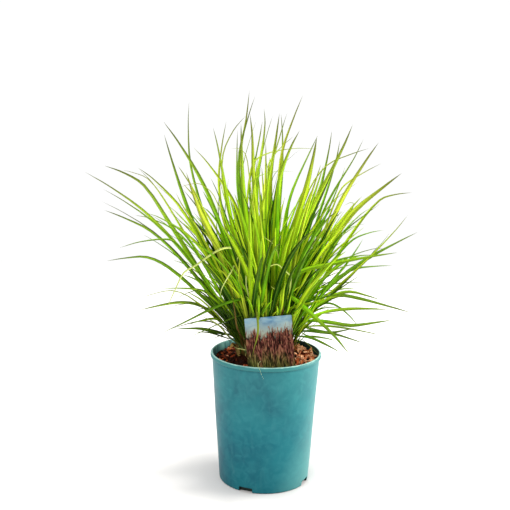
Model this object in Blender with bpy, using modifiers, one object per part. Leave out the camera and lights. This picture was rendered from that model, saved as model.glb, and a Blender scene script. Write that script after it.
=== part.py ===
"""Ornamental grass clump in a deep round nursery pot, with its stick-in label.

Metres, +Z up. The origin is the centre of the pot's flat underside, and -Y is the front,
where the label stands. The pot, the potting mix, the crown and the label are turned or
extruded solids. Every shoot is a stalk whose top is parted into cells, and one leaf blade
grows out of each cell, so that a shoot is one solid, as it is on the plant.
"""

import math
import random
from collections import namedtuple

import bmesh
import bpy
from mathutils import Euler, Vector, geometry
from mathutils.bvhtree import BVHTree

MM = 0.001
GAP = 0.3 * MM

# Pot: a thin turned shell with a thick rim and drain notches in its bottom corner.
POT_HEIGHT = 203.5 * MM
RIM_RADIUS = 85.0 * MM
RIM_INNER_RADIUS = 81.3 * MM
RIM_DEPTH = 7.0 * MM
RIM_ROUND = 2.2 * MM
RIM_CHAMFER = 1.0 * MM
WALL_TOP_RADIUS = 82.4 * MM
WALL_BASE_RADIUS = 69.2 * MM
WALL_THICKNESS = 1.6 * MM
FLOOR_THICKNESS = 2.5 * MM
CORNER_RADIUS = 4.8 * MM
POT_SIDES = 36
NOTCH_COUNT = 4
NOTCH_WIDTH = 23.0 * MM
NOTCH_HEIGHT = 8.0 * MM
NOTCH_DEPTH = 14.0 * MM
NOTCH_BEARING = math.radians(-113.0)

# Potting mix: fills the pot to a little under the rim and is heaped against the crown.
MIX_EDGE_HEIGHT = 192.0 * MM
MIX_HEAP_HEIGHT = 199.5 * MM
MIX_TILT = 2.5 * MM
MIX_LUMP = 0.7 * MM
MIX_WAVES = ((190.0, 1.3), (170.0, 0.4))
MIX_RINGS = 4

# Crown: the matted base that all shoots stand on.
CROWN_CENTRE = Vector((0.0, 4.0 * MM, 0.0))
CROWN_RADIUS = 46.0 * MM
CROWN_TOP = 200.5 * MM
CROWN_THICKNESS = 15.0 * MM
CROWN_TAPER = 0.86
CROWN_SIDES = 24
CROWN_WAVES = ((0.035, 3.0, 0.6), (0.025, 7.0, 0.0))

# Label: a card with a pointed stake, pushed into the mix and leaning back.
CARD_WIDTH = 70.0 * MM
CARD_HEIGHT = 86.0 * MM
CARD_THICKNESS = 0.8 * MM
CARD_CORNER = 3.0 * MM
STAKE_WIDTH = 17.0 * MM
STAKE_LENGTH = 40.0 * MM
STAKE_POINT = 12.0 * MM
CARD_FOOT = Vector((10.3 * MM, -66.0 * MM, 188.0 * MM))
CARD_LEAN = math.radians(9.0)
CARD_TURN = math.radians(4.5)
CARD_SWING = math.radians(6.0)

# Shoots: stalks on a spiral of crown spots, leaning outwards more towards the edge.
SHOOT_COUNT = 54
BLADES_PER_SHOOT = (5, 5, 6)
GOLDEN_ANGLE = math.pi * (3.0 - math.sqrt(5.0))
SPOT_REACH = 41.5 * MM
STALK_TALL = 66.0 * MM
STALK_SHORT = 19.0 * MM
STALK_FALL = 1.5
STALK_STRAY = (0.85, 1.15)
STALK_SPREAD = 0.30
STALK_ACROSS = 4.4 * MM
CELL_STEP = 1.0 * MM
STALK_FOOT_SCALE = 1.2

# Leaf blades: a flat three-cornered section, the keel on the lower face.
OUTER_STATIONS = 5
INNER_STATIONS = 4
INNER_WIDTH = (6.0 * MM, 9.2 * MM)
LEAST_WIDTH = 0.9 * MM
SHEATH_WIDTH = 0.72
WIDEST_AT = 0.3
TAPER_POWER = 1.7
KEEL_RATIO = 0.13
TWIST_END = 0.6
BEND_EFFORT = 0.35
FIRST_STATION = 0.6
LAST_STATION = 0.15
SPAN_POINTS = 9
SHEATH_START = 0.02
SEEN_TRIES = 2
SEEN_TWIST = 0.5
SEEN_HOME = 0.4
SHIFT_CYCLE = 12
SHIFT_STEP = 7.0 * MM
INNER_TRIES = 300
INNER_THIN = 0.55
INNER_SPREAD = 0.17
INNER_STRAY = 0.6
INNER_SWAY = 0.08
INNER_TWIST = 0.9
INNER_DROOP = (math.radians(8.0), math.radians(22.0))
OUTER_DROOP = math.radians(46.0)
BACK_DROOP = math.radians(55.0)
BACK_POWER = 3.0
BOW_STEPS = 18
BOW_POWER = 1.6
INNER_LONG = (150.0 * MM, 290.0 * MM)
INNER_SHORT = (130.0 * MM, 235.0 * MM)
CLEARANCE = 0.6 * MM
SEED = 418
LEAF_COLOUR = (0.13, 0.32, 0.012)
LEAF_TONES = (0.8, 0.9, 1.0, 1.1, 1.2)

# The dense part of the clump widens above the stalks.
CLUMP_FLARE_HEIGHT = 235.0 * MM
CLUMP_FLARE = 0.47

# The plant is laid out from the front, seen from 1.5 m away, in a picture 510 units wide.
VIEW_POINT = Vector((0.0, -1.5, 0.666))
VIEW_TURN = (Euler((math.radians(78.25), 0.0, math.radians(0.73))).to_matrix()
             @ Euler((0.0, 0.0, math.radians(0.95))).to_matrix())
VIEW_FOCAL = 1018.0
VIEW_CENTRE = 255.0

# One row for each leaf that shows on its own: places in that picture from the tip down
# towards the crown, how far the tip lies behind the pot's axis in mm, and the width in mm.
Leaf = namedtuple("Leaf", "path depth width home", defaults=(None,))
OUTER_LEAVES = (
    Leaf(((85, 172), (131, 200), (172, 239)), -20, 5.0),
    Leaf(((104, 165.5), (142, 183), (175, 232)), 40, 7.0),
    Leaf(((137, 167), (160, 185), (190, 222)), -50, 5.0),
    Leaf(((139, 169), (158, 190), (175, 218)), 75, 3.2),
    Leaf(((163, 121), (189, 158), (215, 210)), 60, 6.0),
    Leaf(((164, 134), (175, 170), (196, 230)), -30, 6.0),
    Leaf(((189, 101), (189.5, 158), (206, 222)), 115, 4.2),
    Leaf(((178, 166), (186, 178), (203, 208)), -85, 3.2),
    Leaf(((186, 172), (199.7, 212), (219, 252)), -120, 8.5),
    Leaf(((193, 147), (217, 175), (240, 218)), 20, 5.0),
    Leaf(((213, 127), (220, 158), (228, 205)), -45, 6.0),
    Leaf(((226.5, 120), (219, 168), (222, 210)), 90, 4.2),
    Leaf(((246, 115.5), (230, 136), (222, 162), (226, 200)), 55, 3.2),
    Leaf(((104, 210), (150, 230), (188, 267)), 35, 5.5),
    Leaf(((147, 213), (165, 220.5), (190, 240)), -90, 4.0),
    Leaf(((176, 193), (185, 210), (202, 236)), -65, 3.5),
    Leaf(((134, 215), (160, 222), (188, 243)), 95, 3.0),
    Leaf(((119, 248), (150, 240), (178, 244)), -45, 3.6),
    Leaf(((106, 261), (150, 257.5), (190, 285.5)), 5, 5.5),
    Leaf(((162, 288.5), (190, 288.5), (207, 293)), -65, 3.2),
    Leaf(((140, 310), (178, 302.5), (205, 308)), 25, 4.4),
    Leaf(((160, 334), (190, 320), (218, 306.5), (249, 301, -52)), -80, 4.0, (6, -24)),
    Leaf(((175, 329), (200, 328), (227, 335)), -35, 5.0),
    Leaf(((188, 325), (203, 320), (219, 320)), -75, 3.2),
    Leaf(((237.5, 130), (236.5, 165), (238, 195)), 140, 5.0),
    Leaf(((249.5, 90), (245.5, 125), (241, 160)), 60, 5.0),
    Leaf(((255, 96), (247.5, 120), (238.5, 165)), 10, 4.2),
    Leaf(((250, 113), (253, 145), (254, 190)), -30, 7.0),
    Leaf(((264, 108), (265, 133), (256, 190)), 100, 6.0),
    Leaf(((262.5, 121), (259, 142), (253, 185)), 155, 3.4),
    Leaf(((273, 115), (265, 143), (258, 185)), 60, 3.4),
    Leaf(((279.5, 113), (274, 152), (269, 190)), 20, 7.0),
    Leaf(((281, 113), (283, 150), (281, 190)), 120, 4.6),
    Leaf(((287, 113), (277, 146), (267, 190)), -45, 4.0),
    Leaf(((303, 95), (290, 128), (280, 163)), 70, 5.0),
    Leaf(((300, 130), (287, 156), (278, 190)), -65, 7.0),
    Leaf(((294, 136), (280, 149), (268, 170)), 95, 3.0),
    Leaf(((320, 149), (285, 149.5), (257, 159), (249, 182)), 60, 2.8),
    Leaf(((241, 123), (242, 160), (244, 200)), -95, 7.0),
    Leaf(((318, 135), (302, 170), (288, 207)), 60, 5.2),
    Leaf(((317, 136), (309, 178), (293.6, 232)), -75, 9.0),
    Leaf(((321, 164), (313, 190), (304, 222)), -105, 5.0),
    Leaf(((332, 130), (327, 160), (314, 212)), 95, 5.0),
    Leaf(((370, 148), (350, 154.5), (326, 166), (305, 200)), 40, 2.8),
    Leaf(((353, 124), (334, 167), (309, 216)), -20, 7.5),
    Leaf(((340, 140), (334, 168), (320, 210)), 130, 5.0),
    Leaf(((364, 138), (348, 170), (325, 207)), 60, 4.0),
    Leaf(((379, 142), (353, 180), (333, 218)), -55, 7.5),
    Leaf(((382, 163), (360, 175), (338, 194)), 105, 3.0),
    Leaf(((402, 173), (350, 216), (321, 268)), -30, 9.0),
    Leaf(((412, 192.5), (379, 200.5), (341, 251)), 50, 5.4),
    Leaf(((370, 208), (352, 222), (333, 248)), 105, 3.0),
    Leaf(((408, 215), (388, 239), (352, 274)), -10, 3.0),
    Leaf(((418, 232), (366, 260), (323, 294)), 5, 6.0),
    Leaf(((375, 255), (345, 257.5), (318, 272)), 75, 4.2),
    Leaf(((398, 252.5), (340, 262), (292, 278)), -85, 6.0, (4, -26)),
    Leaf(((384, 230), (357, 237), (337, 256)), 45, 4.0),
    Leaf(((363, 239), (348, 262), (325, 290)), -65, 4.0),
    Leaf(((392, 265.5), (352, 270), (322, 291)), 30, 4.2),
    Leaf(((356, 289), (340, 289), (322, 298)), 75, 3.5),
    Leaf(((381, 300), (347, 291.5), (322, 303)), -25, 5.0),
    Leaf(((412, 313), (370, 301.5), (338, 296), (317, 308)), 15, 4.6),
    Leaf(((388, 309.5), (350, 309), (313, 317)), -45, 5.2),
    Leaf(((358, 326), (343, 310), (327, 303.5), (314, 310)), 45, 4.0),
    Leaf(((392, 320), (350, 325.5), (312, 321)), -15, 5.4),
    Leaf(((380, 335), (350, 328.5), (316, 326)), 45, 3.2),
    Leaf(((350, 355), (330, 331), (308, 311), (285, 298, -50)), -85, 6.0, (2, -30)),
    Leaf(((340, 352.5), (325, 344), (310, 338)), -15, 3.6),
    Leaf(((363, 343), (336, 334), (312, 330)), 25, 4.2),
    Leaf(((336, 341), (321, 337), (306, 336)), 45, 3.0),
)

UP = Vector((0.0, 0.0, 1.0))


def blend(low, high, share):
    """Value a given share of the way from low to high."""
    return low + (high - low) * share


def level(vector):
    """Horizontal unit vector below a vector."""
    return Vector((vector.x, vector.y, 0.0)).normalized()


def clear_scene():
    """Removes every object, so that only the part is left."""
    for item in list(bpy.data.objects):
        bpy.data.objects.remove(item, do_unlink=True)


def new_collection(name):
    """Collection linked to the scene."""
    collection = bpy.data.collections.new(name)
    bpy.context.scene.collection.children.link(collection)
    return collection


def new_material(name, colour, roughness):
    """Principled finish with a colour and a roughness."""
    material = bpy.data.materials.new(name)
    material.use_nodes = True
    shader = material.node_tree.nodes["Principled BSDF"]
    shader.inputs["Base Color"].default_value = (*colour, 1.0)
    shader.inputs["Roughness"].default_value = roughness
    shader.inputs["Metallic"].default_value = 0.0
    return material


def add_object(name, data, collection, material=None):
    """Puts mesh or curve data in the scene as a named object."""
    item = bpy.data.objects.new(name, data)
    collection.objects.link(item)
    if material:
        data.materials.append(material)
    return item


def as_cutter(item):
    """Marks an object as a cutting tool that isn't part of the model."""
    item.hide_render = True
    item.display_type = "WIRE"
    return item


def cut(item, cutter):
    """Takes the cutter's volume out of the object."""
    boolean = item.modifiers.new(cutter.name, "BOOLEAN")
    boolean.operation = "DIFFERENCE"
    boolean.solver = "EXACT"
    boolean.object = cutter


def finished_mesh(item):
    """New mesh of an object's evaluated surface, in its own coordinates."""
    bpy.context.view_layer.update()
    depsgraph = bpy.context.evaluated_depsgraph_get()
    return bpy.data.meshes.new_from_object(item.evaluated_get(depsgraph))


def arc(centre, radius, start, end, steps):
    """Points on an arc in the profile plane, both ends included."""
    points = []
    for step in range(steps + 1):
        angle = math.radians(blend(start, end, step / steps))
        points.append((centre[0] + radius * math.cos(angle), centre[1] + radius * math.sin(angle)))
    return points


def turned(name, profile, collection, material):
    """Turns an (x, z) profile that runs down its outer side about the Z axis."""
    mesh = bpy.data.meshes.new(name)
    edges = [(index, index + 1) for index in range(len(profile) - 1)]
    mesh.from_pydata([(x, 0.0, z) for x, z in profile], edges, [])
    item = add_object(name, mesh, collection, material)
    screw = item.modifiers.new("turn", "SCREW")
    screw.steps = POT_SIDES
    screw.render_steps = POT_SIDES
    screw.use_merge_vertices = True
    screw.merge_threshold = 0.00001
    screw.use_smooth_shade = True
    return item


def wall_radius(height):
    """Outer radius of the pot's straight wall at a height."""
    return blend(WALL_BASE_RADIUS, WALL_TOP_RADIUS, height / (POT_HEIGHT - RIM_DEPTH))


def make_pot(collection, tools):
    """Turned shell with a thick rim, less the drain notches."""
    under_rim = POT_HEIGHT - RIM_DEPTH
    corner = (wall_radius(CORNER_RADIUS) - CORNER_RADIUS, CORNER_RADIUS)
    inner_corner = CORNER_RADIUS + FLOOR_THICKNESS
    profile = [
        (RIM_INNER_RADIUS, POT_HEIGHT - RIM_CHAMFER),
        (RIM_INNER_RADIUS + RIM_CHAMFER, POT_HEIGHT),
    ]
    profile += arc((RIM_RADIUS - RIM_ROUND, POT_HEIGHT - RIM_ROUND), RIM_ROUND, 90.0, 0.0, 2)
    profile += [
        (RIM_RADIUS, under_rim + RIM_CHAMFER),
        (RIM_RADIUS - RIM_CHAMFER, under_rim),
        (wall_radius(under_rim), under_rim),
    ]
    profile += arc(corner, CORNER_RADIUS, 0.0, -90.0, 2)
    profile += [
        (0.0, 0.0),
        (0.0, FLOOR_THICKNESS),
        (corner[0] - WALL_THICKNESS, FLOOR_THICKNESS),
        (wall_radius(inner_corner) - WALL_THICKNESS, inner_corner),
        profile[0],
    ]
    material = new_material("pot_teal", (0.045, 0.235, 0.245), 0.38)
    pot = turned("pot", profile, collection, material)
    for index in range(NOTCH_COUNT):
        bearing = NOTCH_BEARING + index * math.tau / NOTCH_COUNT
        cut(pot, add_notch_tool(f"notch_{index + 1}", bearing, tools))
    return pot


def add_notch_tool(name, bearing, tools):
    """Block that cuts one drain notch through the bottom corner of the wall."""
    mesh = bpy.data.meshes.new(name)
    form = bmesh.new()
    bmesh.ops.create_cube(form, size=1.0)
    bmesh.ops.scale(form, verts=form.verts, vec=(2.0 * NOTCH_DEPTH, NOTCH_WIDTH, 2.0 * NOTCH_HEIGHT))
    form.to_mesh(mesh)
    form.free()
    tool = add_object(name, mesh, tools)
    reach = wall_radius(0.0) - CORNER_RADIUS + NOTCH_DEPTH / 2.0
    tool.location = (reach * math.cos(bearing), reach * math.sin(bearing), 0.0)
    tool.rotation_euler = (0.0, 0.0, bearing)
    return as_cutter(tool)


def mix_height(x, y):
    """Height of the mix: heaped at the crown, lower at the wall, higher at the back right."""
    reach = (Vector((x, y, 0.0)) - CROWN_CENTRE).length
    share = (reach - CROWN_RADIUS) / (wall_radius(MIX_EDGE_HEIGHT) - CROWN_RADIUS)
    share = min(max(share, 0.0), 1.0)
    tilt = MIX_TILT * (x + y) / WALL_TOP_RADIUS
    lump = MIX_LUMP
    for place, (rate, shift) in zip((x, y), MIX_WAVES):
        lump *= math.sin(rate * place + shift)
    return blend(MIX_HEAP_HEIGHT, MIX_EDGE_HEIGHT + tilt + lump, share)


def make_mix(collection, tools, slot_tool):
    """Plug that fills the pot, with the crown's seat and the label's slot left open."""
    inner = WALL_THICKNESS + GAP
    foot = FLOOR_THICKNESS + GAP
    edge = wall_radius(MIX_EDGE_HEIGHT) - inner
    profile = [(edge * index / MIX_RINGS, MIX_EDGE_HEIGHT) for index in range(MIX_RINGS + 1)]
    profile += [
        (wall_radius(CORNER_RADIUS) - inner, CORNER_RADIUS + foot),
        (wall_radius(0.0) - CORNER_RADIUS - inner, foot),
        (0.0, foot),
    ]
    material = new_material("bark_mix", (0.22, 0.085, 0.04), 0.95)
    blank = turned("mix_blank", profile, collection, material)
    mesh = finished_mesh(blank)
    bpy.data.objects.remove(blank, do_unlink=True)
    for vertex in mesh.vertices:
        if vertex.co.z > MIX_EDGE_HEIGHT - GAP:
            vertex.co.z = mix_height(vertex.co.x, vertex.co.y)
    mix = add_object("potting_mix", mesh, collection)
    seat_tool = add_object("crown_seat", crown_mesh("crown_seat", GAP), tools)
    cut(mix, as_cutter(seat_tool))
    cut(mix, slot_tool)
    return mix


def crown_mesh(name, extra):
    """Low round mat with a wavy outline, grown by extra all round."""
    mesh = bpy.data.meshes.new(name)
    form = bmesh.new()
    bmesh.ops.create_cone(
        form, cap_ends=True, segments=CROWN_SIDES, depth=CROWN_THICKNESS,
        radius1=CROWN_RADIUS * CROWN_TAPER, radius2=CROWN_RADIUS)
    for vertex in form.verts:
        bearing = math.atan2(vertex.co.y, vertex.co.x)
        waves = [size * math.sin(rate * bearing + shift) for size, rate, shift in CROWN_WAVES]
        reach = vertex.co.xy.length * (1.0 + sum(waves)) + extra
        vertex.co.xy = (reach * math.cos(bearing), reach * math.sin(bearing))
        vertex.co.z += math.copysign(extra, vertex.co.z)
    middle = CROWN_CENTRE + UP * (CROWN_TOP - CROWN_THICKNESS / 2.0)
    bmesh.ops.translate(form, verts=form.verts, vec=middle)
    form.to_mesh(mesh)
    form.free()
    return mesh


def make_crown(collection):
    """The mat that the shoots stand on."""
    material = new_material("crown_brown", (0.11, 0.085, 0.03), 0.9)
    return add_object("crown", crown_mesh("crown", 0.0), collection, material)


def label_outline(extra):
    """Outline of the card and its stake, grown by extra, the card's foot at the origin."""
    half = CARD_WIDTH / 2.0 + extra
    stake = STAKE_WIDTH / 2.0 + extra
    top = CARD_HEIGHT + extra
    inset = half - CARD_CORNER
    points = [(0.0, -STAKE_LENGTH - extra), (stake, STAKE_POINT - STAKE_LENGTH), (stake, -extra)]
    points += arc((inset, CARD_CORNER - extra), CARD_CORNER, -90.0, 0.0, 2)
    points += arc((inset, top - CARD_CORNER), CARD_CORNER, 0.0, 90.0, 2)
    return points + [(-x, y) for x, y in reversed(points[1:])]


def label_plate(name, extra, collection, material=None):
    """Plate in the label's outline and place, grown by extra all round."""
    curve = bpy.data.curves.new(name, "CURVE")
    curve.dimensions = "2D"
    curve.fill_mode = "BOTH"
    curve.extrude = CARD_THICKNESS / 2.0 + extra
    outline = label_outline(extra)
    spline = curve.splines.new("POLY")
    spline.points.add(len(outline) - 1)
    for point, (x, y) in zip(spline.points, outline):
        point.co = (x, y, 0.0, 1.0)
    spline.use_cyclic_u = True
    plate = add_object(name, curve, collection, material)
    swing = Euler((0.0, 0.0, CARD_SWING)).to_matrix()
    upright = Euler((math.radians(90.0) - CARD_LEAN, 0.0, 0.0)).to_matrix()
    turn = Euler((0.0, 0.0, CARD_TURN)).to_matrix()
    plate.location = CARD_FOOT
    plate.rotation_euler = (swing @ upright @ turn).to_euler()
    return plate


def make_label(collection):
    """Stick-in card, leaning back and turned a little to one side."""
    material = new_material("label_print", (0.45, 0.42, 0.42), 0.35)
    return label_plate("plant_label", 0.0, collection, material)


def make_slot_tool(tools):
    """Solid that leaves a slot in the mix for the label's foot and stake."""
    plate = label_plate("slot_outline", GAP, tools)
    mesh = finished_mesh(plate)
    form = bmesh.new()
    form.from_mesh(mesh)
    bmesh.ops.remove_doubles(form, verts=form.verts, dist=0.00001)
    form.to_mesh(mesh)
    form.free()
    tool = add_object("label_slot", mesh, tools)
    tool.matrix_world = plate.matrix_world
    bpy.data.objects.remove(plate, do_unlink=True)
    return as_cutter(tool)


class Shoot:
    """One stalk on the crown, with a row of cells on its top that blades grow from."""

    def __init__(self, index):
        chance = random.Random(SEED + index)
        bearing = index * GOLDEN_ANGLE
        outwards = Vector((math.cos(bearing), math.sin(bearing), 0.0))
        sway = Vector((chance.uniform(-1.0, 1.0), chance.uniform(-1.0, 1.0), 0.0))
        self.name = f"shoot_{index + 1:02d}"
        self.share = math.sqrt((index + 0.5) / SHOOT_COUNT)
        self.foot = CROWN_CENTRE + outwards * SPOT_REACH * self.share + UP * (CROWN_TOP + GAP)
        self.axis = (outwards * STALK_SPREAD * self.share + UP).normalized()
        height = blend(STALK_TALL, STALK_SHORT, self.share ** STALK_FALL)
        height *= chance.uniform(*STALK_STRAY)
        self.top = self.foot + self.axis * height / self.axis.z
        self.fan = level(outwards + sway)
        self.blades = [None] * chance.choice(BLADES_PER_SHOOT)

    def free_cells(self):
        """Numbers of the cells that have no blade yet."""
        return [number for number, blade in enumerate(self.blades) if blade is None]

    def corners(self, centre, scale):
        """Zigzag of corners about a centre, each three in a row the corners of a cell."""
        across = UP.cross(self.fan) * STALK_ACROSS / 2.0
        middle = (len(self.blades) + 1) / 2.0
        points = []
        for index in range(len(self.blades) + 2):
            forward = self.fan * (index - middle) * CELL_STEP
            side = across if index % 2 == 0 else -across
            points.append(centre + (forward + side) * scale)
        return points

    def cell(self, number):
        """Corners of one cell of the top, counter-clockwise from above."""
        points = self.corners(self.top, 1.0)[number:number + 3]
        return points[::-1] if number % 2 else points

    def tree(self):
        """Search tree of the bare stalk."""
        points = self.corners(self.foot, STALK_FOOT_SCALE) + self.corners(self.top, 1.0)
        high = len(points) // 2
        faces = []
        for index in range(high - 1):
            faces += side_faces(index, index + 1, index + high, index + high + 1)
        return BVHTree.FromPolygons(points, faces)


class Blade:
    """One leaf: its cell, middle line, width, twist and the sections of its solid."""

    def __init__(self, cell, path, width, twist, stations):
        self.cell = cell
        self.path = path
        self.width = width
        self.twist = twist
        self.shares = station_shares(path, stations)
        self.heading = level(path[-1] - path[0])
        self.turn = 0
        lengths = []
        for turn in range(3):
            first = self.section(self.shares[0], 0.0, turn)
            lengths.append(sum((low - high).length for low, high in zip(cell, first)))
        self.turn = lengths.index(min(lengths))

    def section(self, share, extra, turn=None):
        """Corners at a share of the length, grown by extra, in step with the cell's corners."""
        centre, along = place_along(self.path, share)
        side = UP.cross(self.heading)
        side = (side - along * side.dot(along)).normalized()
        angle = self.twist * min(share / TWIST_END, 1.0)
        across = side * math.cos(angle) + along.cross(side) * math.sin(angle)
        under = across.cross(along)
        width = max(self.width * width_share(share), LEAST_WIDTH)
        half = across * (width / 2.0 + extra)
        lift = under * -extra
        keel = under * (width * KEEL_RATIO + extra * 2.0)
        points = [centre + half + lift, centre - half + lift, centre + keel]
        turn = self.turn if turn is None else turn
        return points[turn:] + points[:turn]

    def tree(self, extra):
        """Search tree of the blade's surface, grown by extra, from just above its cell."""
        points = []
        for low, high in zip(self.cell, self.section(self.shares[0], 0.0)):
            points.append(low.lerp(high, SHEATH_START))
        for share in self.shares:
            points += self.section(share, extra)
        last = len(points)
        faces = []
        for low in range(0, last - 3, 3):
            for first, second in ((0, 1), (1, 2), (2, 0)):
                faces += side_faces(low + first, low + second, low + first + 3, low + second + 3)
        for first, second in ((3, 2), (2, 1), (1, 3)):
            faces.append((last - first, last - second, last))
        return BVHTree.FromPolygons(points + [self.path[-1]], faces)


def side_faces(first, second, third, fourth):
    """Triangles between two edges, cut along both diagonals since either may be built."""
    return [(first, second, fourth), (first, fourth, third),
            (first, second, third), (second, fourth, third)]


def station_shares(path, count):
    """Shares of the length for count sections, closer together where the leaf bends."""
    strides = [second - first for first, second in zip(path, path[1:])]
    total = sum(stride.length for stride in strides)
    efforts = [0.0]
    reached = [0.0]
    for index, stride in enumerate(strides):
        bend = stride.angle(strides[index - 1]) if index else 0.0
        efforts.append(efforts[-1] + stride.length / total + BEND_EFFORT * bend)
        reached.append(reached[-1] + stride.length / total)
    shares = []
    for step in range(count):
        goal = efforts[-1] * (step + FIRST_STATION) / (count + LAST_STATION)
        index = next(index for index, effort in enumerate(efforts) if effort > goal)
        part = (goal - efforts[index - 1]) / (efforts[index] - efforts[index - 1])
        shares.append(blend(reached[index - 1], reached[index], part))
    return shares


def place_along(path, share):
    """Point and direction at a share of a path's length."""
    strides = [second - first for first, second in zip(path, path[1:])]
    goal = share * sum(stride.length for stride in strides)
    for start, stride in zip(path, strides):
        if goal <= stride.length:
            break
        goal -= stride.length
    direction = stride.normalized()
    return start + direction * goal, direction


def width_share(share):
    """Share of the full width: narrow at the sheath, widest at a third, then a long taper."""
    rise = blend(SHEATH_WIDTH, 1.0, min(share / WIDEST_AT, 1.0))
    fall = 1.0 - (max(share - WIDEST_AT, 0.0) / (1.0 - WIDEST_AT)) ** TAPER_POWER
    return rise * fall


def sight(place, depth):
    """Point on the line of sight through a place in the picture, at a depth along Y."""
    across = (place[0] - VIEW_CENTRE) / VIEW_FOCAL
    upwards = (VIEW_CENTRE - place[1]) / VIEW_FOCAL
    ray = VIEW_TURN @ Vector((across, upwards, -1.0))
    return VIEW_POINT + ray * ((depth - VIEW_POINT.y) / ray.y)


def seen_points(leaf, start, shift):
    """A leaf's own points from the crown outwards, its depth growing towards the tip."""
    points = []
    for index, place in enumerate(reversed(leaf.path)):
        depth = blend(start.y, leaf.depth * MM + shift, (index + 1) / len(leaf.path))
        if len(place) == 3:
            depth = place[2] * MM + shift
        points.append(sight(place, depth))
    return points


def home_spot(leaf):
    """Place on the crown that a leaf grows from, in step with where it leaves the clump."""
    if leaf.home:
        return Vector(leaf.home) * MM
    lowest = sight(leaf.path[-1], leaf.depth * MM * SEEN_HOME)
    clump_radius = CROWN_RADIUS + max(lowest.z - CLUMP_FLARE_HEIGHT, 0.0) * CLUMP_FLARE
    spread = lowest.xy / clump_radius
    if spread.length > 1.0:
        spread.normalize()
    return CROWN_CENTRE.xy + spread * SPOT_REACH


def smooth_path(points, start_direction):
    """Smooth curve through the points, each tangent parallel to its neighbours' chord."""
    last = len(points) - 1
    tangents = []
    for index in range(last + 1):
        chord = points[min(index + 1, last)] - points[max(index - 1, 0)]
        tangents.append(chord.normalized())
    tangents[0] = (tangents[0] + start_direction).normalized()
    path = []
    for index in range(last):
        start = points[index]
        end = points[index + 1]
        handle = (end - start).length / 3.0
        first = start + tangents[index] * handle
        second = end - tangents[index + 1] * handle
        path += geometry.interpolate_bezier(start, first, second, end, SPAN_POINTS)[:-1]
    return path + [points[last]]


def bowed_path(start, heading, lean, droop, length):
    """Leaf that leaves the stalk at a lean and bows over further and further."""
    path = [start]
    for step in range(BOW_STEPS):
        angle = lean + droop * ((step + 0.5) / BOW_STEPS) ** BOW_POWER
        stride = heading * math.sin(angle) + UP * math.cos(angle)
        path.append(path[-1] + stride * length / BOW_STEPS)
    return path


def facing_twist(path):
    """Twist that turns a leaf's face to the front at its middle."""
    centre, along = place_along(path, TWIST_END)
    side = UP.cross(level(path[-1] - path[0]))
    side = (side - along * side.dot(along)).normalized()
    wanted = (centre - VIEW_POINT).cross(along).normalized()
    twist = math.atan2(wanted.dot(along.cross(side)), wanted.dot(side))
    if abs(twist) > math.pi / 2.0:
        twist -= math.copysign(math.pi, twist)
    return twist


def try_blade(shoot, number, blade, things):
    """Gives a cell its blade if the blade is clear of all that stands, and says whether."""
    grown = blade.tree(CLEARANCE)
    tree = blade.tree(0.0)
    for owner, other in things:
        if owner is not shoot and (grown.overlap(other) or tree.overlap(other)):
            return False
    if any(tree.overlap(sister.tree(0.0)) for sister in shoot.blades if sister):
        return False
    shoot.blades[number] = blade
    things.append((shoot, tree))
    return True


def lay_seen_leaf(row, leaf, shoots, things):
    """Gives a leaf to a near shoot with a free cell, shifted in depth until it is clear."""
    home = home_spot(leaf)
    places = []
    for shoot in shoots:
        places += [(shoot, number) for number in shoot.free_cells()]
    places.sort(key=lambda place: (place[0].foot.xy - home).length)
    chance = random.Random(SEED * 3 + row)
    for attempt, (shoot, number) in enumerate(places * SEEN_TRIES):
        shift = chance.uniform(-1.0, 1.0) * (attempt % SHIFT_CYCLE) * SHIFT_STEP
        path = smooth_path([shoot.top] + seen_points(leaf, shoot.top, shift), shoot.axis)
        twist = facing_twist(path) + chance.uniform(-SEEN_TWIST, SEEN_TWIST)
        blade = Blade(shoot.cell(number), path, leaf.width * MM, twist, OUTER_STATIONS)
        if try_blade(shoot, number, blade, things):
            return


def lay_inner_leaf(shoot, number, things):
    """Gives a cell a leaf of the dense inner clump, redrawn until it is clear."""
    chance = random.Random(f"{shoot.name}/{number}")
    place = (number + 0.5) / len(shoot.blades) * 2.0 - 1.0
    for attempt in range(INNER_TRIES):
        spread = INNER_SPREAD * (place + chance.uniform(-INNER_STRAY, INNER_STRAY))
        sway = Vector((chance.uniform(-1.0, 1.0), chance.uniform(-1.0, 1.0), 0.0)) * INNER_SWAY
        lean = shoot.axis / shoot.axis.z + shoot.fan * spread + sway
        heading = level(lean)
        length = blend(chance.uniform(*INNER_LONG), chance.uniform(*INNER_SHORT), abs(heading.x))
        droop = chance.uniform(*INNER_DROOP) + OUTER_DROOP * shoot.share * chance.random()
        droop += BACK_DROOP * max(heading.y, 0.0) * shoot.share ** BACK_POWER * chance.random()
        path = bowed_path(shoot.top, heading, math.atan(lean.xy.length), droop, length)
        twist = chance.uniform(-INNER_TWIST, INNER_TWIST)
        width = chance.uniform(*INNER_WIDTH) * blend(1.0, INNER_THIN, attempt / INNER_TRIES)
        blade = Blade(shoot.cell(number), path, width, twist, INNER_STATIONS)
        if try_blade(shoot, number, blade, things):
            return


def grow_blade(form, face, blade):
    """Draws one cell out section by section along a leaf and closes it at the tip."""
    order = [blade.cell.index(vertex.co) for vertex in face.verts]
    for share in blade.shares:
        face = bmesh.ops.extrude_discrete_faces(form, faces=[face])["faces"][0]
        section = blade.section(share, 0.0)
        for vertex, index in zip(face.verts, order):
            vertex.co = section[index]
        for edge in face.edges:
            split_outwards(next(side for side in edge.link_faces if side is not face))
    tip = bmesh.ops.poke(form, faces=[face])["verts"][0]
    tip.co = blade.path[-1]


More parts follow.
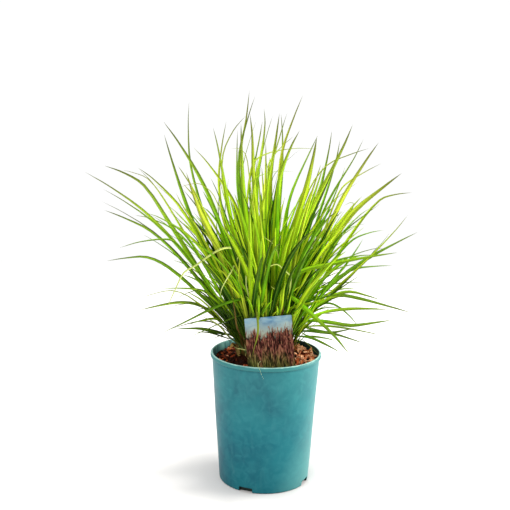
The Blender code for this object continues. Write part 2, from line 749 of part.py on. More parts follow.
def split_outwards(side):
    """Cuts a four-cornered side into triangles along the diagonal that lies further out."""
    side.normal_update()
    first, second, third, fourth = side.verts
    if (first.co + third.co - second.co - fourth.co).dot(side.normal) > 0.0:
        bmesh.utils.face_split(side, first, third)
    else:
        bmesh.utils.face_split(side, second, fourth)


def make_shoot(shoot, collection, material):
    """One solid: the stalk, and a blade grown out of each cell of its top."""
    form = bmesh.new()
    low = [form.verts.new(point) for point in shoot.corners(shoot.foot, STALK_FOOT_SCALE)]
    high = [form.verts.new(point) for point in shoot.corners(shoot.top, 1.0)]
    loop = list(range(1, len(low), 2)) + list(range(0, len(low), 2))[::-1]
    for start, end in zip(loop, loop[1:] + loop[:1]):
        form.faces.new((low[start], low[end], high[end], high[start]))
    form.faces.new([low[index] for index in reversed(loop)])
    cells = []
    for number in range(len(shoot.blades)):
        corners = high[number:number + 3]
        cells.append(form.faces.new(corners[::-1] if number % 2 else corners))
    for cell, blade in zip(cells, shoot.blades):
        if blade:
            grow_blade(form, cell, blade)
    bmesh.ops.triangulate(form, faces=form.faces)
    mesh = bpy.data.meshes.new(shoot.name)
    form.to_mesh(mesh)
    form.free()
    mesh.shade_smooth()
    mesh.set_sharp_from_angle(angle=math.radians(40.0))
    return add_object(shoot.name, mesh, collection, material)


def surface_tree(item):
    """Search tree of an object's finished surface in world space."""
    mesh = finished_mesh(item)
    mesh.transform(item.matrix_world)
    corners = [vertex.co.copy() for vertex in mesh.vertices]
    faces = [tuple(face.vertices) for face in mesh.polygons]
    bpy.data.meshes.remove(mesh)
    return BVHTree.FromPolygons(corners, faces)


def make_shoots(collection, obstacles):
    """Lays every leaf, then builds the shoots."""
    shoots = [Shoot(index) for index in range(SHOOT_COUNT)]
    things = [(None, surface_tree(item)) for item in obstacles]
    things += [(shoot, shoot.tree()) for shoot in shoots]
    for row, leaf in enumerate(OUTER_LEAVES):
        lay_seen_leaf(row, leaf, shoots, things)
    for shoot in shoots:
        for number in shoot.free_cells():
            lay_inner_leaf(shoot, number, things)
    for index, shoot in enumerate(shoots):
        tone = LEAF_TONES[index % len(LEAF_TONES)]
        colour = [channel * tone for channel in LEAF_COLOUR]
        make_shoot(shoot, collection, new_material(f"leaf_green_{index + 1:02d}", colour, 0.5))


clear_scene()
plant = new_collection("potted_grass_clump")
tool_store = new_collection("cutting_tools")
pot_object = make_pot(plant, tool_store)
crown_object = make_crown(plant)
label_object = make_label(plant)
mix_object = make_mix(plant, tool_store, make_slot_tool(tool_store))
make_shoots(plant, [pot_object, label_object, mix_object])
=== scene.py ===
"""Looks of the potted ornamental grass clump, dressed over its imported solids.

Metres, +Z up, the pot's underside centred on the origin and the label at the front, -Y. The
sections follow the order in which the plant is put together: pot, potting mix, crown, shoots,
the small growth between them, and the label.
"""
import math
import random

import bpy
import numpy as np
from mathutils import Euler, Matrix, Vector


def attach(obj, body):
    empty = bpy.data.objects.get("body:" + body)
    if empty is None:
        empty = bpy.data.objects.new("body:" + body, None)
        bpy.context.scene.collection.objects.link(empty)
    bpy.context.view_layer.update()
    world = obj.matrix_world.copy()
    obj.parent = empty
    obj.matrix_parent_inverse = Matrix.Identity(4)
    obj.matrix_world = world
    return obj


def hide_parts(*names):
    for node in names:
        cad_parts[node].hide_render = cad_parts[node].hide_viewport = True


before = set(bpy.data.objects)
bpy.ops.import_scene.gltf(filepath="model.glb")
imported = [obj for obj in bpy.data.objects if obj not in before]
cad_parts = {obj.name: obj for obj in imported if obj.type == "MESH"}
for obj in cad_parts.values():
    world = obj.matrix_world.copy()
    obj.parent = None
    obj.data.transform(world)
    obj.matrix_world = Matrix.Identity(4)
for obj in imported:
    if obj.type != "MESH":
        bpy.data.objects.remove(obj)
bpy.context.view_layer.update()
scene = bpy.context.scene


# Camera: 1.5 m in front of the pot, looking down by 12 degrees, as the photograph was taken.
# sight() gives the point at a chosen depth that shows at a picture place.

MM = 0.001
CAMERA_PLACE = Vector((0.0, -1.5, 0.666))
CAMERA_TILT = math.radians(78.25)
CAMERA_PAN = math.radians(0.73)
CAMERA_ROLL = math.radians(0.95)
CAMERA_TURN = (Euler((CAMERA_TILT, 0.0, CAMERA_PAN)).to_matrix()
               @ Euler((0.0, 0.0, CAMERA_ROLL)).to_matrix())
PICTURE_SIZE = 510.0
PICTURE_FOCAL = 1018.0
SENSOR_WIDTH = 36.0


def new_object(name, data):
    """Object of that name and data, in the scene."""
    item = bpy.data.objects.new(name, data)
    scene.collection.objects.link(item)
    return item


def sight(x, y, depth):
    """Point of the line of sight through picture place (x, y), depth mm behind the axis."""
    middle = PICTURE_SIZE / 2.0
    ray = CAMERA_TURN @ Vector(((x - middle) / PICTURE_FOCAL, (middle - y) / PICTURE_FOCAL, -1.0))
    return np.array(CAMERA_PLACE + ray * ((depth * MM - CAMERA_PLACE.y) / ray.y))


camera_data = bpy.data.cameras.new("camera")
camera_data.sensor_width = SENSOR_WIDTH
camera_data.lens = SENSOR_WIDTH * PICTURE_FOCAL / PICTURE_SIZE
camera = new_object("camera", camera_data)
camera.matrix_world = Matrix.Translation(CAMERA_PLACE) @ CAMERA_TURN.to_4x4()
scene.camera = camera


# Pot: one moulded shell of teal plastic, deep and round, with a rolled rim, a low foot ring and
# four drain notches, which are recesses in the foot ring whose back is painted near black as shade.
# Its wall is never quite true. Its colour holds painted light and shade: a brighter top and right,
# painted highlights on the rim, and painted shade under the rim and inside to the right.

POT_HEIGHT = 203.5 * MM
RIM_RADIUS = 85.0 * MM
RIM_INNER_RADIUS = 81.3 * MM
RIM_DEPTH = 6.4 * MM
UNDER_RIM = POT_HEIGHT - RIM_DEPTH
RIM_ROUND = 2.6 * MM
UNDER_ROUND = 1.5 * MM
INNER_ROUND = 0.9 * MM
WALL_TOP_RADIUS = 82.4 * MM
WALL_BASE_RADIUS = 69.2 * MM
WALL_THICKNESS = 1.6 * MM
FOOT_CORNER = 1.6 * MM
FOOT_HEIGHT = 7.0 * MM
FOOT_WIDTH = 9.5 * MM
FOOT_CHAMFER = 1.5 * MM
FOOT_EDGE = 0.6 * MM
FLOOR_THICKNESS = 2.5 * MM
FLOOR_FILLET = 3.0 * MM
NOTCH_SIZE = (12.0 * MM, 22.0 * MM, 15.4 * MM)
NOTCH_DEPTH = 5.6 * MM
NOTCH_BEARINGS = (-113.0, -23.0, 67.0, 157.0)
POT_SIDES = 160

TEAL_TONES = ((0.3, (0.0015, 0.064, 0.094)), (0.5, (0.002, 0.084, 0.111)), (0.72, (0.005, 0.106, 0.131)))
BLOTCH_TEAL = (0.02, 0.15, 0.17)
STREAK_TEAL = (0.06, 0.18, 0.19)
LEAF_LIGHT_TEAL = (0.35, 0.50, 0.12)
SIDE_LIGHT_TEAL = (0.03, 0.23, 0.20)
LOW_RIGHT_LIGHT_TEAL = (0.19, 0.40, 0.35)
BEAD_HIGHLIGHT_TEAL = (0.04, 0.19, 0.185)
RIM_HIGHLIGHT_TEAL = (0.40, 0.66, 0.60)
# Dark teal of a real mark on the front, and of the painted shade under the rim.
GRIME_AND_SHADE = (0.004, 0.05, 0.06)
LIME_AND_LIGHT = (0.20, 0.48, 0.43)
INNER_SHADE = (0.004, 0.028, 0.022)
NOTCH_SHADE = (0.005, 0.005, 0.004)
FOOT_DARK = (0.012, 0.03, 0.03)
POT_MARKS = ((266.0, 406.0, 1.7, GRIME_AND_SHADE), (271.5, 404.5, 3.4, (0.01, 0.08, 0.10)))


def add_piece(name, points, faces, material, slot, nodes=(), sharp=50.0):
    """Mesh piece that rides on the plant's one body and stands for the CAD nodes named."""
    mesh = bpy.data.meshes.new(name)
    mesh.from_pydata(points, [], faces)
    mesh.materials.append(material)
    mesh.shade_smooth()
    mesh.set_sharp_from_angle(angle=math.radians(sharp))
    piece = new_object(name, mesh)
    if nodes:
        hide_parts(*nodes)
    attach(piece, "root")
    return piece


def ring_faces(rows, sides, start=0):
    """Four-cornered faces of a grid whose columns close to a ring: corner (i, j) is joined to
    (i, j + 1), (i + 1, j + 1) and (i + 1, j)."""
    low = np.arange((rows - 1) * sides).reshape(rows - 1, sides) + start
    after = np.roll(low, -1, axis=1)
    return list(np.stack([low, after, after + sides, low + sides], axis=2).reshape(-1, 4))


def pole_faces(pole, ring):
    """Triangles from one corner to each stretch of a ring of corners."""
    return list(np.stack([np.full(len(ring), pole), ring, np.roll(ring, -1)], axis=1))


def turned(outline, sides, sway=0.0):
    """Closed solid of revolution: outline point (r, z) at bearing a lies at
    ((r + sway) cos a, (r + sway) sin a, z). The first and last points are its poles."""
    bearings = np.arange(sides) * math.tau / sides
    reach = outline[1:-1, :1] + sway + np.zeros(sides)
    heights = outline[1:-1, 1:] + np.zeros(sides)
    rings = np.stack([reach * np.cos(bearings), reach * np.sin(bearings), heights], axis=2)
    poles = np.array([[0.0, 0.0, outline[0, 1]], [0.0, 0.0, outline[-1, 1]]])
    points = np.vstack([poles, rings.reshape(-1, 3)])
    first = np.arange(sides) + 2
    last = first + (len(outline) - 3) * sides
    faces = ring_faces(len(outline) - 2, sides, 2)
    faces += pole_faces(0, first[::-1]) + pole_faces(1, last)
    return points, faces


def arc(centre, radius, start, end, steps):
    """Outline points on an arc: centre + radius (cos a, sin a), from start to end degrees."""
    angles = np.radians(np.linspace(start, end, steps + 1))
    return np.array(centre) + radius * np.stack([np.cos(angles), np.sin(angles)], axis=1)


def wall_radius(height):
    """Outer radius of the pot's wall: grows evenly from the foot to the rim."""
    share = height / UNDER_RIM
    return WALL_BASE_RADIUS + (WALL_TOP_RADIUS - WALL_BASE_RADIUS) * share


def wall_outline(low, high, count, inset):
    """Outline points up or down the wall, inset from its outer face."""
    heights = np.linspace(low, high, count)
    return np.stack([wall_radius(heights) - inset, heights], axis=1)


def pot_outline():
    """From the underside's middle over the foot ring, up outside, round the rim, down inside."""
    ring = WALL_BASE_RADIUS - FOOT_WIDTH
    inside = FOOT_HEIGHT + FLOOR_THICKNESS
    return np.vstack([
        [(0.0, FOOT_HEIGHT), (ring - FOOT_CHAMFER, FOOT_HEIGHT), (ring, FOOT_HEIGHT - FOOT_CHAMFER)],
        [(ring, FOOT_EDGE), (ring + FOOT_EDGE, 0.0)],
        arc((WALL_BASE_RADIUS - FOOT_CORNER, FOOT_CORNER), FOOT_CORNER, -90.0, 0.0, 4),
        wall_outline(FOOT_CORNER + 3.0 * MM, UNDER_RIM - 0.6 * MM, 14, 0.0),
        arc((RIM_RADIUS - UNDER_ROUND, UNDER_RIM + UNDER_ROUND), UNDER_ROUND, -90.0, 0.0, 4),
        arc((RIM_RADIUS - RIM_ROUND, POT_HEIGHT - RIM_ROUND), RIM_ROUND, 0.0, 90.0, 7),
        arc((RIM_INNER_RADIUS + INNER_ROUND, POT_HEIGHT - INNER_ROUND), INNER_ROUND, 100.0, 180.0, 4),
        wall_outline(UNDER_RIM - 4.0 * MM, inside + FLOOR_FILLET, 8, WALL_THICKNESS),
        [(wall_radius(inside) - WALL_THICKNESS - FLOOR_FILLET, inside), (0.0, inside)]])


def wall_sway(outline):
    """Slow waves of a moulded wall at bearing a and share h of its height, in mm: 0.35 sin(2a +
    0.7) + 0.2 sin(5a + 9h), times sin(pi h), which is nothing at the foot and at the rim."""
    bearings = np.arange(POT_SIDES) * math.tau / POT_SIDES
    share = outline[1:-1, 1:] / POT_HEIGHT
    waves = 0.35 * np.sin(2.0 * bearings + 0.7) + 0.2 * np.sin(5.0 * bearings + 9.0 * share)
    return waves * np.sin(math.pi * share) * MM


def cut_notches(piece):
    """Cuts the drain notches into the foot ring with blocks, and keeps the cut mesh."""
    middle = [WALL_BASE_RADIUS + NOTCH_SIZE[0] / 2.0 - NOTCH_DEPTH, 0.0, 0.0]
    corners = (np.indices((2, 2, 2)).reshape(3, 8).T - 0.5) * NOTCH_SIZE + middle
    sides = [(0, 1, 3, 2), (4, 6, 7, 5), (0, 4, 5, 1), (2, 3, 7, 6), (0, 2, 6, 4), (1, 5, 7, 3)]
    for bearing in NOTCH_BEARINGS:
        turn = np.array(Matrix.Rotation(math.radians(bearing), 3, "Z"))
        mesh = bpy.data.meshes.new("notch")
        mesh.from_pydata(corners @ turn.T, [], sides)
        boolean = piece.modifiers.new("notch", "BOOLEAN")
        boolean.object = new_object("notch", mesh)
        boolean.solver = "EXACT"
    bpy.context.view_layer.update()
    depsgraph = bpy.context.evaluated_depsgraph_get()
    shaped = bpy.data.meshes.new_from_object(piece.evaluated_get(depsgraph))
    for boolean in piece.modifiers:
        bpy.data.objects.remove(boolean.object, do_unlink=True)
    piece.modifiers.clear()
    piece.data = shaped
    shaped.set_sharp_from_angle(angle=math.radians(40.0))


def new_material(name, roughness, specular):
    """Material with its node tree and its Principled shader."""
    material = bpy.data.materials.new(name)
    material.use_nodes = True
    shader = material.node_tree.nodes["Principled BSDF"]
    shader.inputs["Roughness"].default_value = roughness
    shader.inputs["Specular IOR Level"].default_value = specular
    return material, material.node_tree, shader


def add_node(tree, kind, inputs=None, **settings):
    """Shader node with its settings, and inputs that are values or other nodes' outputs."""
    item = tree.nodes.new(kind)
    for key, value in settings.items():
        setattr(item, key, value)
    for key, value in (inputs or {}).items():
        if isinstance(value, bpy.types.NodeSocket):
            tree.links.new(value, item.inputs[key])
        else:
            item.inputs[key].default_value = value
    return item


def add_place(tree):
    """Place on the piece in metres, for patterns that run through it."""
    return add_node(tree, "ShaderNodeTexCoord").outputs["Object"]


def add_axes(tree, place):
    """The three numbers of a place."""
    return add_node(tree, "ShaderNodeSeparateXYZ", {"Vector": place}).outputs


def add_noise(tree, place, scale, detail=3.0, distortion=0.0, stretch=None, turn=0.0):
    """Fractal noise over a place that may first be stretched, and turned about Z."""
    if stretch:
        turned_place = {"Vector": place, "Scale": stretch, "Rotation": (0.0, 0.0, turn)}
        place = add_node(tree, "ShaderNodeMapping", turned_place).outputs["Vector"]
    inputs = {"Vector": place, "Scale": scale, "Detail": detail, "Distortion": distortion}
    return add_node(tree, "ShaderNodeTexNoise", inputs).outputs["Fac"]


def add_ramp(tree, factor, *stops):
    """Colour ramp over a factor, from (place, colour) stops, a single number being a grey."""
    ramp = add_node(tree, "ShaderNodeValToRGB", {"Fac": factor})
    elements = ramp.color_ramp.elements
    while len(elements) < len(stops):
        elements.new(0.5)
    for element, (place, colour) in zip(elements, stops):
        colour = colour if isinstance(colour, tuple) else (colour,) * 3
        element.position = place
        element.color = (*colour, 1.0)
    return ramp.outputs["Color"]


def add_mix(tree, factor, first, second, blend="MIX"):
    """Mix of two colours. For colours, the node's sockets have the numbers below."""
    inputs = {0: factor, 6: first, 7: second}
    item = add_node(tree, "ShaderNodeMix", inputs, data_type="RGBA", blend_type=blend)
    return item.outputs[2]


def add_sum(tree, operation, *terms):
    """Result of a sum on numbers or outputs."""
    inputs = dict(enumerate(terms))
    return add_node(tree, "ShaderNodeMath", inputs, operation=operation).outputs["Value"]


def add_fade(tree, value, start, end, low=0.0, high=1.0):
    """Runs from low to high while a value goes from start to end."""
    inputs = {"Value": value, "From Min": start, "From Max": end, "To Min": low, "To Max": high}
    return add_node(tree, "ShaderNodeMapRange", inputs).outputs["Result"]


def add_tint(tree, base, tint, value, start, end, most):
    """Base colour under a tint: none of it where a value is at start, and most of it at end."""
    return add_mix(tree, add_fade(tree, value, start, end, 0.0, most), base, (*tint, 1.0))


def add_shade(tree, base, shade):
    """Base colour times a shade."""
    return add_mix(tree, 1.0, base, shade, "MULTIPLY")


def add_distance(tree, place, spot):
    """Distance of a place from a spot, in metres."""
    item = add_node(tree, "ShaderNodeVectorMath", {0: place, 1: spot}, operation="DISTANCE")
    return item.outputs["Value"]


def add_bump(tree, shader, height, strength, distance):
    """Bump from a height, straight into the shader."""
    inputs = {"Height": height, "Strength": strength, "Distance": distance}
    bump = add_node(tree, "ShaderNodeBump", inputs)
    tree.links.new(bump.outputs["Normal"], shader.inputs["Normal"])


def painted_wall_light(tree, axes, teal):
    """Painted light on the wall: brighter and faintly leaf-lit towards its top, a painted sheen at
    both side edges, and paler to the right and lower right, as if lit from there.
    """
    teal = add_shade(tree, teal, add_fade(tree, axes["Z"], 0.0, POT_HEIGHT, 0.98, 1.2))
    teal = add_tint(tree, teal, LEAF_LIGHT_TEAL, axes["Z"], 90.0 * MM, 185.0 * MM, 0.03)
    across = add_sum(tree, "ABSOLUTE", axes["X"])
    teal = add_shade(tree, teal, add_fade(tree, across, 50.0 * MM, 80.0 * MM, 1.0, 1.08))
    teal = add_tint(tree, teal, SIDE_LIGHT_TEAL, axes["X"], 15.0 * MM, 75.0 * MM, 0.22)
    # Painted light on the lower right of the wall.
    lit_low_right = add_sum(tree, "SUBTRACT", axes["X"], add_sum(tree, "MULTIPLY", axes["Z"], 0.4))
    return add_tint(tree, teal, LOW_RIGHT_LIGHT_TEAL, lit_low_right, 10.0 * MM, 60.0 * MM, 0.23)


def painted_rim_light(tree, height, blotch, teal):
    """Rim with painted shade in the corner below it, a painted highlight on its lower bead and a
    painted highlight along its top edge.
    """
    # Painted shade in the corner under the rim.
    teal = add_tint(tree, teal, GRIME_AND_SHADE, height, UNDER_RIM - 3.5 * MM, UNDER_RIM, 0.45)
    # Painted highlight on the lower bead.
    teal = add_tint(tree, teal, BEAD_HIGHLIGHT_TEAL, height, UNDER_RIM, UNDER_RIM + 1.2 * MM, 0.5)
    # Painted highlight along the rim's top edge.
    highlight_edge = add_sum(tree, "MULTIPLY_ADD", blotch, 1.6 * MM, height)
    return add_tint(tree, teal, RIM_HIGHLIGHT_TEAL, highlight_edge, POT_HEIGHT - 0.3 * MM, POT_HEIGHT + 0.7 * MM, 0.75)


def pot_stains_and_shade(tree, place, axes, streak, teal):
    """Pale chalky streaks inside the wall, partly real and partly painted light, painted shade on the
    inside to the right, painted shade near black in the notches, and darker up the lowest 5 mm outside."""
    height = axes["Z"]
    level = add_node(tree, "ShaderNodeVectorMath", {0: place, 1: (1.0, 1.0, 0.0)}, operation="MULTIPLY")
    reach = add_distance(tree, level.outputs["Vector"], (0.0, 0.0, 0.0))
    slope = (WALL_TOP_RADIUS - WALL_BASE_RADIUS) / UNDER_RIM
    middle = add_sum(tree, "MULTIPLY_ADD", height, slope, WALL_BASE_RADIUS - WALL_THICKNESS / 2.0)
    inner = add_sum(tree, "LESS_THAN", reach, middle)
    # Pale streaks inside the wall: partly real residue, partly painted light.
    lime_and_light = add_sum(tree, "MULTIPLY", inner, add_fade(tree, streak, 0.4, 0.62, 0.25, 0.9))
    teal = add_mix(tree, lime_and_light, teal, (*LIME_AND_LIGHT, 1.0))
    # Painted shade on the inner wall towards the right.
    inner_shade = add_fade(tree, axes["X"], -10.0 * MM, 35.0 * MM, 0.0, 0.95)
    teal = add_mix(tree, add_sum(tree, "MULTIPLY", inner, inner_shade), teal, (*INNER_SHADE, 1.0))
    # Painted shade, near black, in the recesses of the notches.
    recess = add_sum(tree, "LESS_THAN", reach, WALL_BASE_RADIUS - 0.8 * MM)
    low = add_sum(tree, "LESS_THAN", height, NOTCH_SIZE[2] / 2.0 + 0.2 * MM)
    notch_shade = add_sum(tree, "MULTIPLY", recess, low)
    teal = add_mix(tree, add_sum(tree, "MULTIPLY", notch_shade, 0.98), teal, (*NOTCH_SHADE, 1.0))
    # Darker towards the bottom, up the lowest 5 mm outside.
    foot_dark = add_sum(tree, "MULTIPLY_ADD", streak, 5.0 * MM, height)
    return add_tint(tree, teal, FOOT_DARK, foot_dark, 5.0 * MM, 2.0 * MM, 0.6)


def pot_plastic():
    """Teal plastic with a slow mottle, faint streaks, two marks in front, and painted light and shade
    on its wall, rim, inside and notches.
    """
    material, tree, shader = new_material("pot_teal", 0.4, 0.15)
    place = add_place(tree)
    axes = add_axes(tree, place)
    mottle = add_noise(tree, place, 17.0, 5.0, 0.7)
    blotch = add_noise(tree, place, 75.0, 3.0, 1.0)
    streak = add_noise(tree, place, 150.0, 4.0, 0.5, (1.0, 1.0, 0.1))
    teal = add_ramp(tree, mottle, *TEAL_TONES)
    teal = add_tint(tree, teal, BLOTCH_TEAL, blotch, 0.4, 0.75, 0.4)
    teal = add_tint(tree, teal, STREAK_TEAL, streak, 0.6, 0.85, 0.25)
    # Painted light: the wall is brighter towards its top, its edges and its right.
    teal = painted_wall_light(tree, axes, teal)
    # Painted shade under the rim and painted highlights on its bead and top edge.
    teal = painted_rim_light(tree, axes["Z"], blotch, teal)
    # Streaks, painted shade inside and in the notches, and a darker foot.
    teal = pot_stains_and_shade(tree, place, axes, streak, teal)
    for x, y, size, colour in POT_MARKS:
        spot = tuple(sight(x, y, -WALL_TOP_RADIUS / MM + 1.0))
        apart = add_distance(tree, place, spot)
        teal = add_tint(tree, teal, colour, apart, size * MM, size * 0.3 * MM, 0.75)
    tree.links.new(teal, shader.inputs["Base Color"])
    tree.links.new(add_fade(tree, streak, 0.0, 1.0, 0.34, 0.5), shader.inputs["Roughness"])
    grain = add_sum(tree, "MULTIPLY_ADD", add_noise(tree, place, 800.0, 2.0), 0.3, mottle)
    add_bump(tree, shader, grain, 0.25, 0.0008)
    return material


pot_side = pot_outline()
pot_shape = turned(pot_side, POT_SIDES, wall_sway(pot_side))
cut_notches(add_piece("pot_shell", *pot_shape, pot_plastic(), "pot", ["pot"]))


# Potting mix: dark compost that fills the pot and is heaped against the crown, with loose
# orange bark chips strewn over it. The deeper chips are darker, and each has its own tone, in which
# painted light makes chips paler to the right and a painted shadow darkens them beside the label.

MIX_EDGE_HEIGHT = 189.5 * MM
MIX_HEAP_HEIGHT = 199.0 * MM
MIX_TILT = 2.8 * MM
MIX_LUMPS = 0.8 * MM
MIX_SIDES = 120
MIX_RINGS = 18
PIECE_GAP = 0.3 * MM
CROWN_CENTRE = np.array([0.0, 4.0, 0.0]) * MM
CROWN_RADIUS = 46.0 * MM

# A chip's breadth is a share of its length, and its other ranges are in mm.
CHIP_COUNT = 460
CHIP_DRAWS = 2600
CHIP_REACH = (38.0, 78.0)
CHIP_LENGTH = (7.0, 16.0)
CHIP_BREADTH = (0.18, 0.36)
CHIP_THICKNESS = (1.2, 2.8)

MIX_TONES = ((0.0, (0.012, 0.004, 0.002)), (1.0, (0.03, 0.010, 0.005)))
CHIP_TONES = ((0.0, (0.025, 0.005, 0.001)), (0.3, (0.20, 0.03, 0.006)), (0.6, (0.58, 0.14, 0.04)),
              (1.0, (0.88, 0.46, 0.25)))

LABEL_WIDTH = 70.0 * MM
LABEL_HEIGHT = 86.0 * MM
LABEL_FOOT = (10.3 * MM, -66.0 * MM, 188.0 * MM)
LABEL_TURN = math.radians(6.0)
LABEL_LEAN = math.radians(81.0)
LABEL_SLANT = math.radians(4.5)
LABEL_PLACE = (Matrix.Translation(LABEL_FOOT) @ Matrix.Rotation(LABEL_TURN, 4, "Z")
               @ Matrix.Rotation(LABEL_LEAN, 4, "X") @ Matrix.Rotation(LABEL_SLANT, 4, "Z"))
LABEL_AXES = np.array(LABEL_PLACE.to_3x3())
LABEL_ORIGIN = np.array(LABEL_PLACE.translation)


def mix_height(x, y):
    """Height of the mix: falls evenly from the crown to the wall, rises towards the back
    right, and has lumps that are products of sines of x and y."""
    reach = np.hypot(x - CROWN_CENTRE[0], y - CROWN_CENTRE[1])
    share = np.clip((reach - CROWN_RADIUS) / (WALL_TOP_RADIUS - CROWN_RADIUS), 0.0, 1.0)
    tilt = MIX_TILT * (x + y) / WALL_TOP_RADIUS
    lumps = np.sin(420.0 * x + 1.3) * np.sin(390.0 * y + 0.4)
    lumps = lumps + 0.7 * np.sin(900.0 * x + 500.0 * y) * np.sin(870.0 * y - 600.0 * x)
    return MIX_HEAP_HEIGHT + (MIX_EDGE_HEIGHT + tilt - MIX_HEAP_HEIGHT) * share + MIX_LUMPS * lumps


def mix_plug():
    """Turned plug in the pot's inside, whose top rings are lifted to mix_height."""
    gap = WALL_THICKNESS + PIECE_GAP
    low = FOOT_HEIGHT + FLOOR_THICKNESS + PIECE_GAP
    edge = wall_radius(MIX_EDGE_HEIGHT) - gap
    top = np.linspace(edge, 0.0, MIX_RINGS + 1)
    outline = np.vstack([
        [(0.0, low), (wall_radius(low) - gap - FLOOR_FILLET, low)],
        wall_outline(low + FLOOR_FILLET, MIX_EDGE_HEIGHT - 12.0 * MM, 3, gap),
        np.stack([top, np.full(len(top), MIX_EDGE_HEIGHT)], axis=1)])
    points, faces = turned(outline, MIX_SIDES)
    upper = points[:, 2] > MIX_EDGE_HEIGHT - MM
    points[upper, 2] = mix_height(points[upper, 0], points[upper, 1])
    return points, faces


def to_label(points):
    """Points in the label's axes: across, up and out of its card, from the middle of its foot."""
    return (points - LABEL_ORIGIN) @ LABEL_AXES


def from_label(points):
    """Points in the label's axes moved to where the label stands."""
    return points @ LABEL_AXES.T + LABEL_ORIGIN


def on_label(points, reach):
    """Whether each point is within a reach of the label's card, sideways or through it."""
    local = to_label(points)
    beside = np.abs(local[:, 0]) < LABEL_WIDTH / 2.0 + reach
    level = (local[:, 1] > -LABEL_HEIGHT / 2.0) & (local[:, 1] < LABEL_HEIGHT + reach)
    return beside & level & (np.abs(local[:, 2]) < reach)


def behind_label(curve):
    """Curve whose points level with the label's card are moved to at least 5 mm behind it."""
    local = to_label(curve)
    beside = np.abs(local[:, 0]) < LABEL_WIDTH / 2.0 + 3.0 * MM
    level = (local[:, 1] > -10.0 * MM) & (local[:, 1] < LABEL_HEIGHT + 6.0 * MM)
    depth = np.where(beside & level, np.minimum(local[:, 2], -5.0 * MM), local[:, 2])
    return from_label(np.column_stack([local[:, :2], depth]))


def turns(angles):
    """Rotation matrices from rows of angles about X, Y and Z, taken in that order."""
    c, s = np.cos(angles).T, np.sin(angles).T
    rows = [[c[1] * c[2], s[0] * s[1] * c[2] - c[0] * s[2], c[0] * s[1] * c[2] + s[0] * s[2]],
            [c[1] * s[2], s[0] * s[1] * s[2] + c[0] * c[2], c[0] * s[1] * s[2] - s[0] * c[2]],
            [-s[1], s[0] * c[1], c[0] * c[1]]]
    return np.moveaxis(rows, 2, 0)


def chip_spots(chance):
    """Spots of the chips, clear of wall and label, their sizes, and their order in the pile,
    from 0 for the deepest to 1 for the topmost."""
    order = np.sort(chance.uniform(0.0, 1.0, CHIP_DRAWS))
    length = chance.uniform(*CHIP_LENGTH, CHIP_DRAWS) * MM
    bearing = chance.uniform(0.0, math.tau, CHIP_DRAWS)
    reach = np.sqrt(chance.uniform(CHIP_REACH[0] ** 2, CHIP_REACH[1] ** 2, CHIP_DRAWS)) * MM
    x, y = reach * np.cos(bearing), reach * np.sin(bearing) + 1.5 * MM
    lift = (0.3 + 3.8 * order * chance.uniform(0.0, 1.0, CHIP_DRAWS)) * MM
    spots = np.stack([x, y, mix_height(x, y) + lift], axis=1)
    fits = np.hypot(x, y) + length / 2.0 < wall_radius(spots[:, 2]) - WALL_THICKNESS
    fits &= ~on_label(spots, 6.0 * MM)
    kept = np.flatnonzero(fits)
    kept = kept[np.linspace(0, len(kept) - 1, CHIP_COUNT).astype(int)]
    breadth = length * chance.uniform(*CHIP_BREADTH, CHIP_DRAWS)
    thickness = chance.uniform(*CHIP_THICKNESS, CHIP_DRAWS) * MM
    sizes = np.stack([length, breadth, thickness], axis=1)
    return spots[kept], sizes[kept], order[kept]


def chip_tones(chance, spots, order):
    """Tone of each chip, from 0, dark, to 1, dry and pale: it grows with its order, and as painted light
    to the right and towards the wall, away from the clump, and falls in a painted shadow beside the
    label's left edge."""
    x, y = spots[:, 0], spots[:, 1]
    # Painted light: paler to the right and towards the wall.
    dryness_and_light = 0.13 + 0.35 * order + 0.36 * np.tanh(x / (20.0 * MM))
    dryness_and_light += 0.18 * np.tanh((np.hypot(x, y) - 55.0 * MM) / (8.0 * MM))
    # Painted shadow of the label beside its left edge.
    shade = np.exp(-((x / MM + 20.0) / 20.0) ** 2) * (y < 0.0)
    return np.clip(chance.normal(dryness_and_light - 0.5 * shade, 0.38), 0.0, 1.0)


def chip_pile():
    """Chips of twelve corners: three rough squares along a sliver with a bowed middle, times
    the chip's size, turned and moved to its spot."""
    chance = np.random.default_rng(11)
    spots, sizes, order = chip_spots(chance)
    squares = [(-0.5, -0.5), (0.5, -0.5), (0.5, 0.5), (-0.5, 0.5)]
    base = np.array([(along, y, z) for along in (-0.5, 0.0, 0.5) for y, z in squares])
    corners = base[None] + chance.uniform(-0.13, 0.13, (CHIP_COUNT, 12, 3))
    corners[:, [0, 1, 2, 3, 8, 9, 10, 11], 1:] *= chance.uniform(0.35, 0.8, (CHIP_COUNT, 1, 1))
    corners[:, 4:8, 2] += chance.uniform(-0.8, 1.4, (CHIP_COUNT, 1))
    corners *= sizes[:, None]
    tilt = 0.25 + 0.4 * order
    spread = np.stack([tilt, tilt * 0.7, tilt * 90.0], axis=1)
    angles = chance.normal(0.0, 1.0, (CHIP_COUNT, 3)) * spread
    corners = np.einsum("nij,nkj->nki", turns(angles), corners) + spots[:, None]
    sides = [(3, 2, 1, 0), (8, 9, 10, 11)] + [tuple(face) for face in ring_faces(3, 4)]
    faces = (np.array(sides)[None] + 12 * np.arange(CHIP_COUNT)[:, None, None]).reshape(-1, 4)
    return corners.reshape(-1, 3), faces, np.repeat(chip_tones(chance, spots, order), 12)


def give_values(piece, name, values):
    """Stores a number for each corner, or one for them all, for the material to read."""
    attribute = piece.data.attributes.new(name, "FLOAT", "POINT")
    values = np.full(len(piece.data.vertices), values, dtype=np.float32)
    attribute.data.foreach_set("value", values)


def loop_corners(mesh):
    """The corner of each stretch of each face of a mesh, face by face."""
    corners = np.zeros(len(mesh.loops), dtype=np.int32)
    mesh.loops.foreach_get("vertex_index", corners)
    return corners


